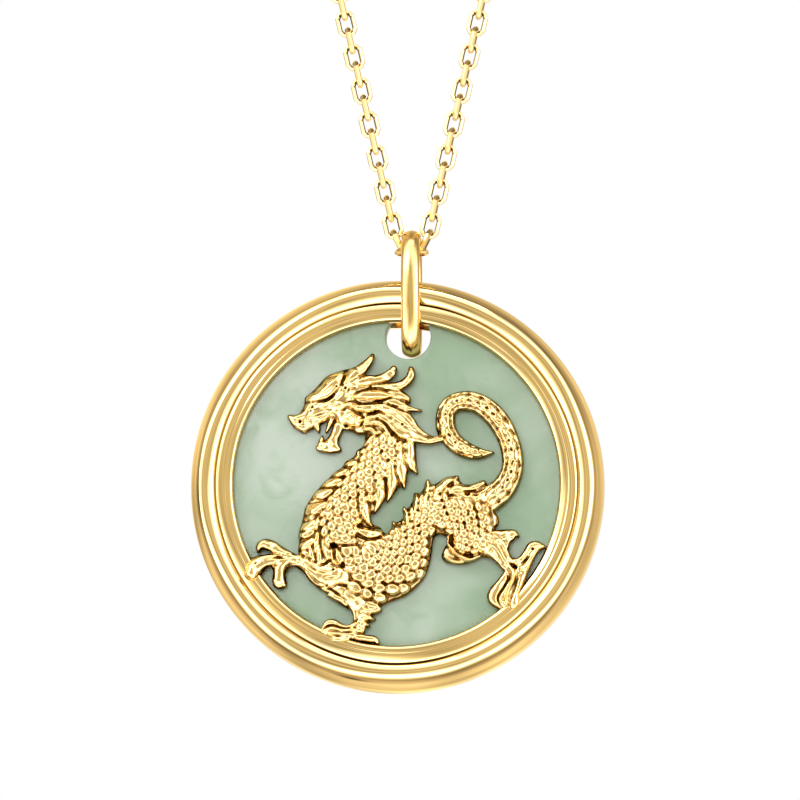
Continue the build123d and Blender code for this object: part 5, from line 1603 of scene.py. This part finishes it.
def colourRamp(tree, source, stops):
    # colours at places from 0 to 1, easing from one to the next
    ramp = addNode(tree, "ShaderNodeValToRGB", {"Fac": source})
    ramp.color_ramp.interpolation = "EASE"
    while len(ramp.color_ramp.elements) < len(stops):
        ramp.color_ramp.elements.new(0.5)
    for element, (position, colour) in zip(ramp.color_ramp.elements, stops):
        element.position = position
        element.color = (*colour, 1.0)
    return ramp.outputs["Color"]


def aimed(obj, target):
    # turns an object so that its own -Z looks at the target
    obj.rotation_euler = (Vector(target) - obj.location).to_track_quat("-Z", "Y").to_euler()


def makeStage():
    form = stageForm
    size, height = form["floorSize"], form["floorHeight"]
    mesh = bpy.data.meshes.new("floor")
    corners = [(-size, -size, height), (size, -size, height), (size, size, height), (-size, size, height)]
    mesh.from_pydata(corners, [], [(0, 1, 2, 3)])
    floor = bpy.data.objects.new("floor", mesh)
    bpy.context.scene.collection.objects.link(floor)
    material, tree, shader = newFinish("paleFloor")
    setInput(tree, shader, "Base Color", form["floorColour"])
    setInput(tree, shader, "Roughness", form["floorRoughness"])
    mesh.materials.append(material)
    floor.visible_glossy = False

    camera = bpy.data.objects.new("camera", bpy.data.cameras.new("camera"))
    bpy.context.scene.collection.objects.link(camera)
    az, el = math.radians(form["azimuth"]), math.radians(form["elevation"])
    aim = Vector(form["aim"])
    sight = Vector((math.sin(az) * math.cos(el), -math.cos(az) * math.cos(el), math.sin(el)))
    camera.location = aim + form["distance"] * sight
    aimed(camera, aim)
    camera.data.lens = form["lens"]
    camera.data.sensor_width = 36.0
    camera.data.clip_start = 0.01
    bpy.context.scene.camera = camera

    for name, (place, width, tall, radiance) in form["lights"].items():
        lamp = bpy.data.lights.new(name, "AREA")
        lamp.shape = "RECTANGLE"
        lamp.size, lamp.size_y = width, tall
        lamp.energy = radiance * math.pi * width * tall
        holder = bpy.data.objects.new(name, lamp)
        holder.location = aim + Vector(place)
        aimed(holder, aim)
        # the front light fills the stone's shadows and doesn't show in the gold
        holder.visible_glossy = name != "front"
        bpy.context.scene.collection.objects.link(holder)

    # the tent is seen in the gold, while the camera sees plain white
    world = bpy.data.worlds.new("studio")
    bpy.context.scene.world = world
    world.use_nodes = True
    tree = world.node_tree
    tree.nodes.clear()
    place = addNode(tree, "ShaderNodeTexCoord").outputs["Generated"]
    x, y, z = addNode(tree, "ShaderNodeSeparateXYZ", {0: place}).outputs
    tent = colourRamp(tree, mapped(tree, y, 1.0, -1.0), form["tent"])
    fold = addNode(tree, "ShaderNodeTexNoise", {"Vector": place, "Scale": form["foldScale"], "Detail": 1.0})
    folds = mapped(tree, fold.outputs["Fac"], 0.35, 0.65, *form["foldPower"])
    around = addNode(tree, "ShaderNodeMath", {0: x, 1: z}, operation="ARCTAN2").outputs[0]
    greys = [(share, (grey, grey, grey)) for share, grey in form["panels"]]
    panels = colourRamp(tree, mapped(tree, around, -math.pi, math.pi), greys)
    panels = mapped(tree, panels, 0.0, 1.0, 0.0, form["tentPower"])
    power = addNode(tree, "ShaderNodeMath", {0: folds, 1: panels}, operation="MULTIPLY").outputs[0]
    soft = addNode(tree, "ShaderNodeBackground", {"Color": tent, "Strength": power}).outputs[0]
    white = addNode(tree, "ShaderNodeBackground", {"Color": (1.0, 1.0, 1.0, 1.0), "Strength": 1.0}).outputs[0]
    seen = addNode(tree, "ShaderNodeLightPath").outputs["Is Camera Ray"]
    mix = addNode(tree, "ShaderNodeMixShader", {0: seen, 1: soft, 2: white}).outputs[0]
    addNode(tree, "ShaderNodeOutputWorld", {"Surface": mix})
    bpy.context.scene.view_settings.view_transform = "Standard"


makeStage()
print("stage set")
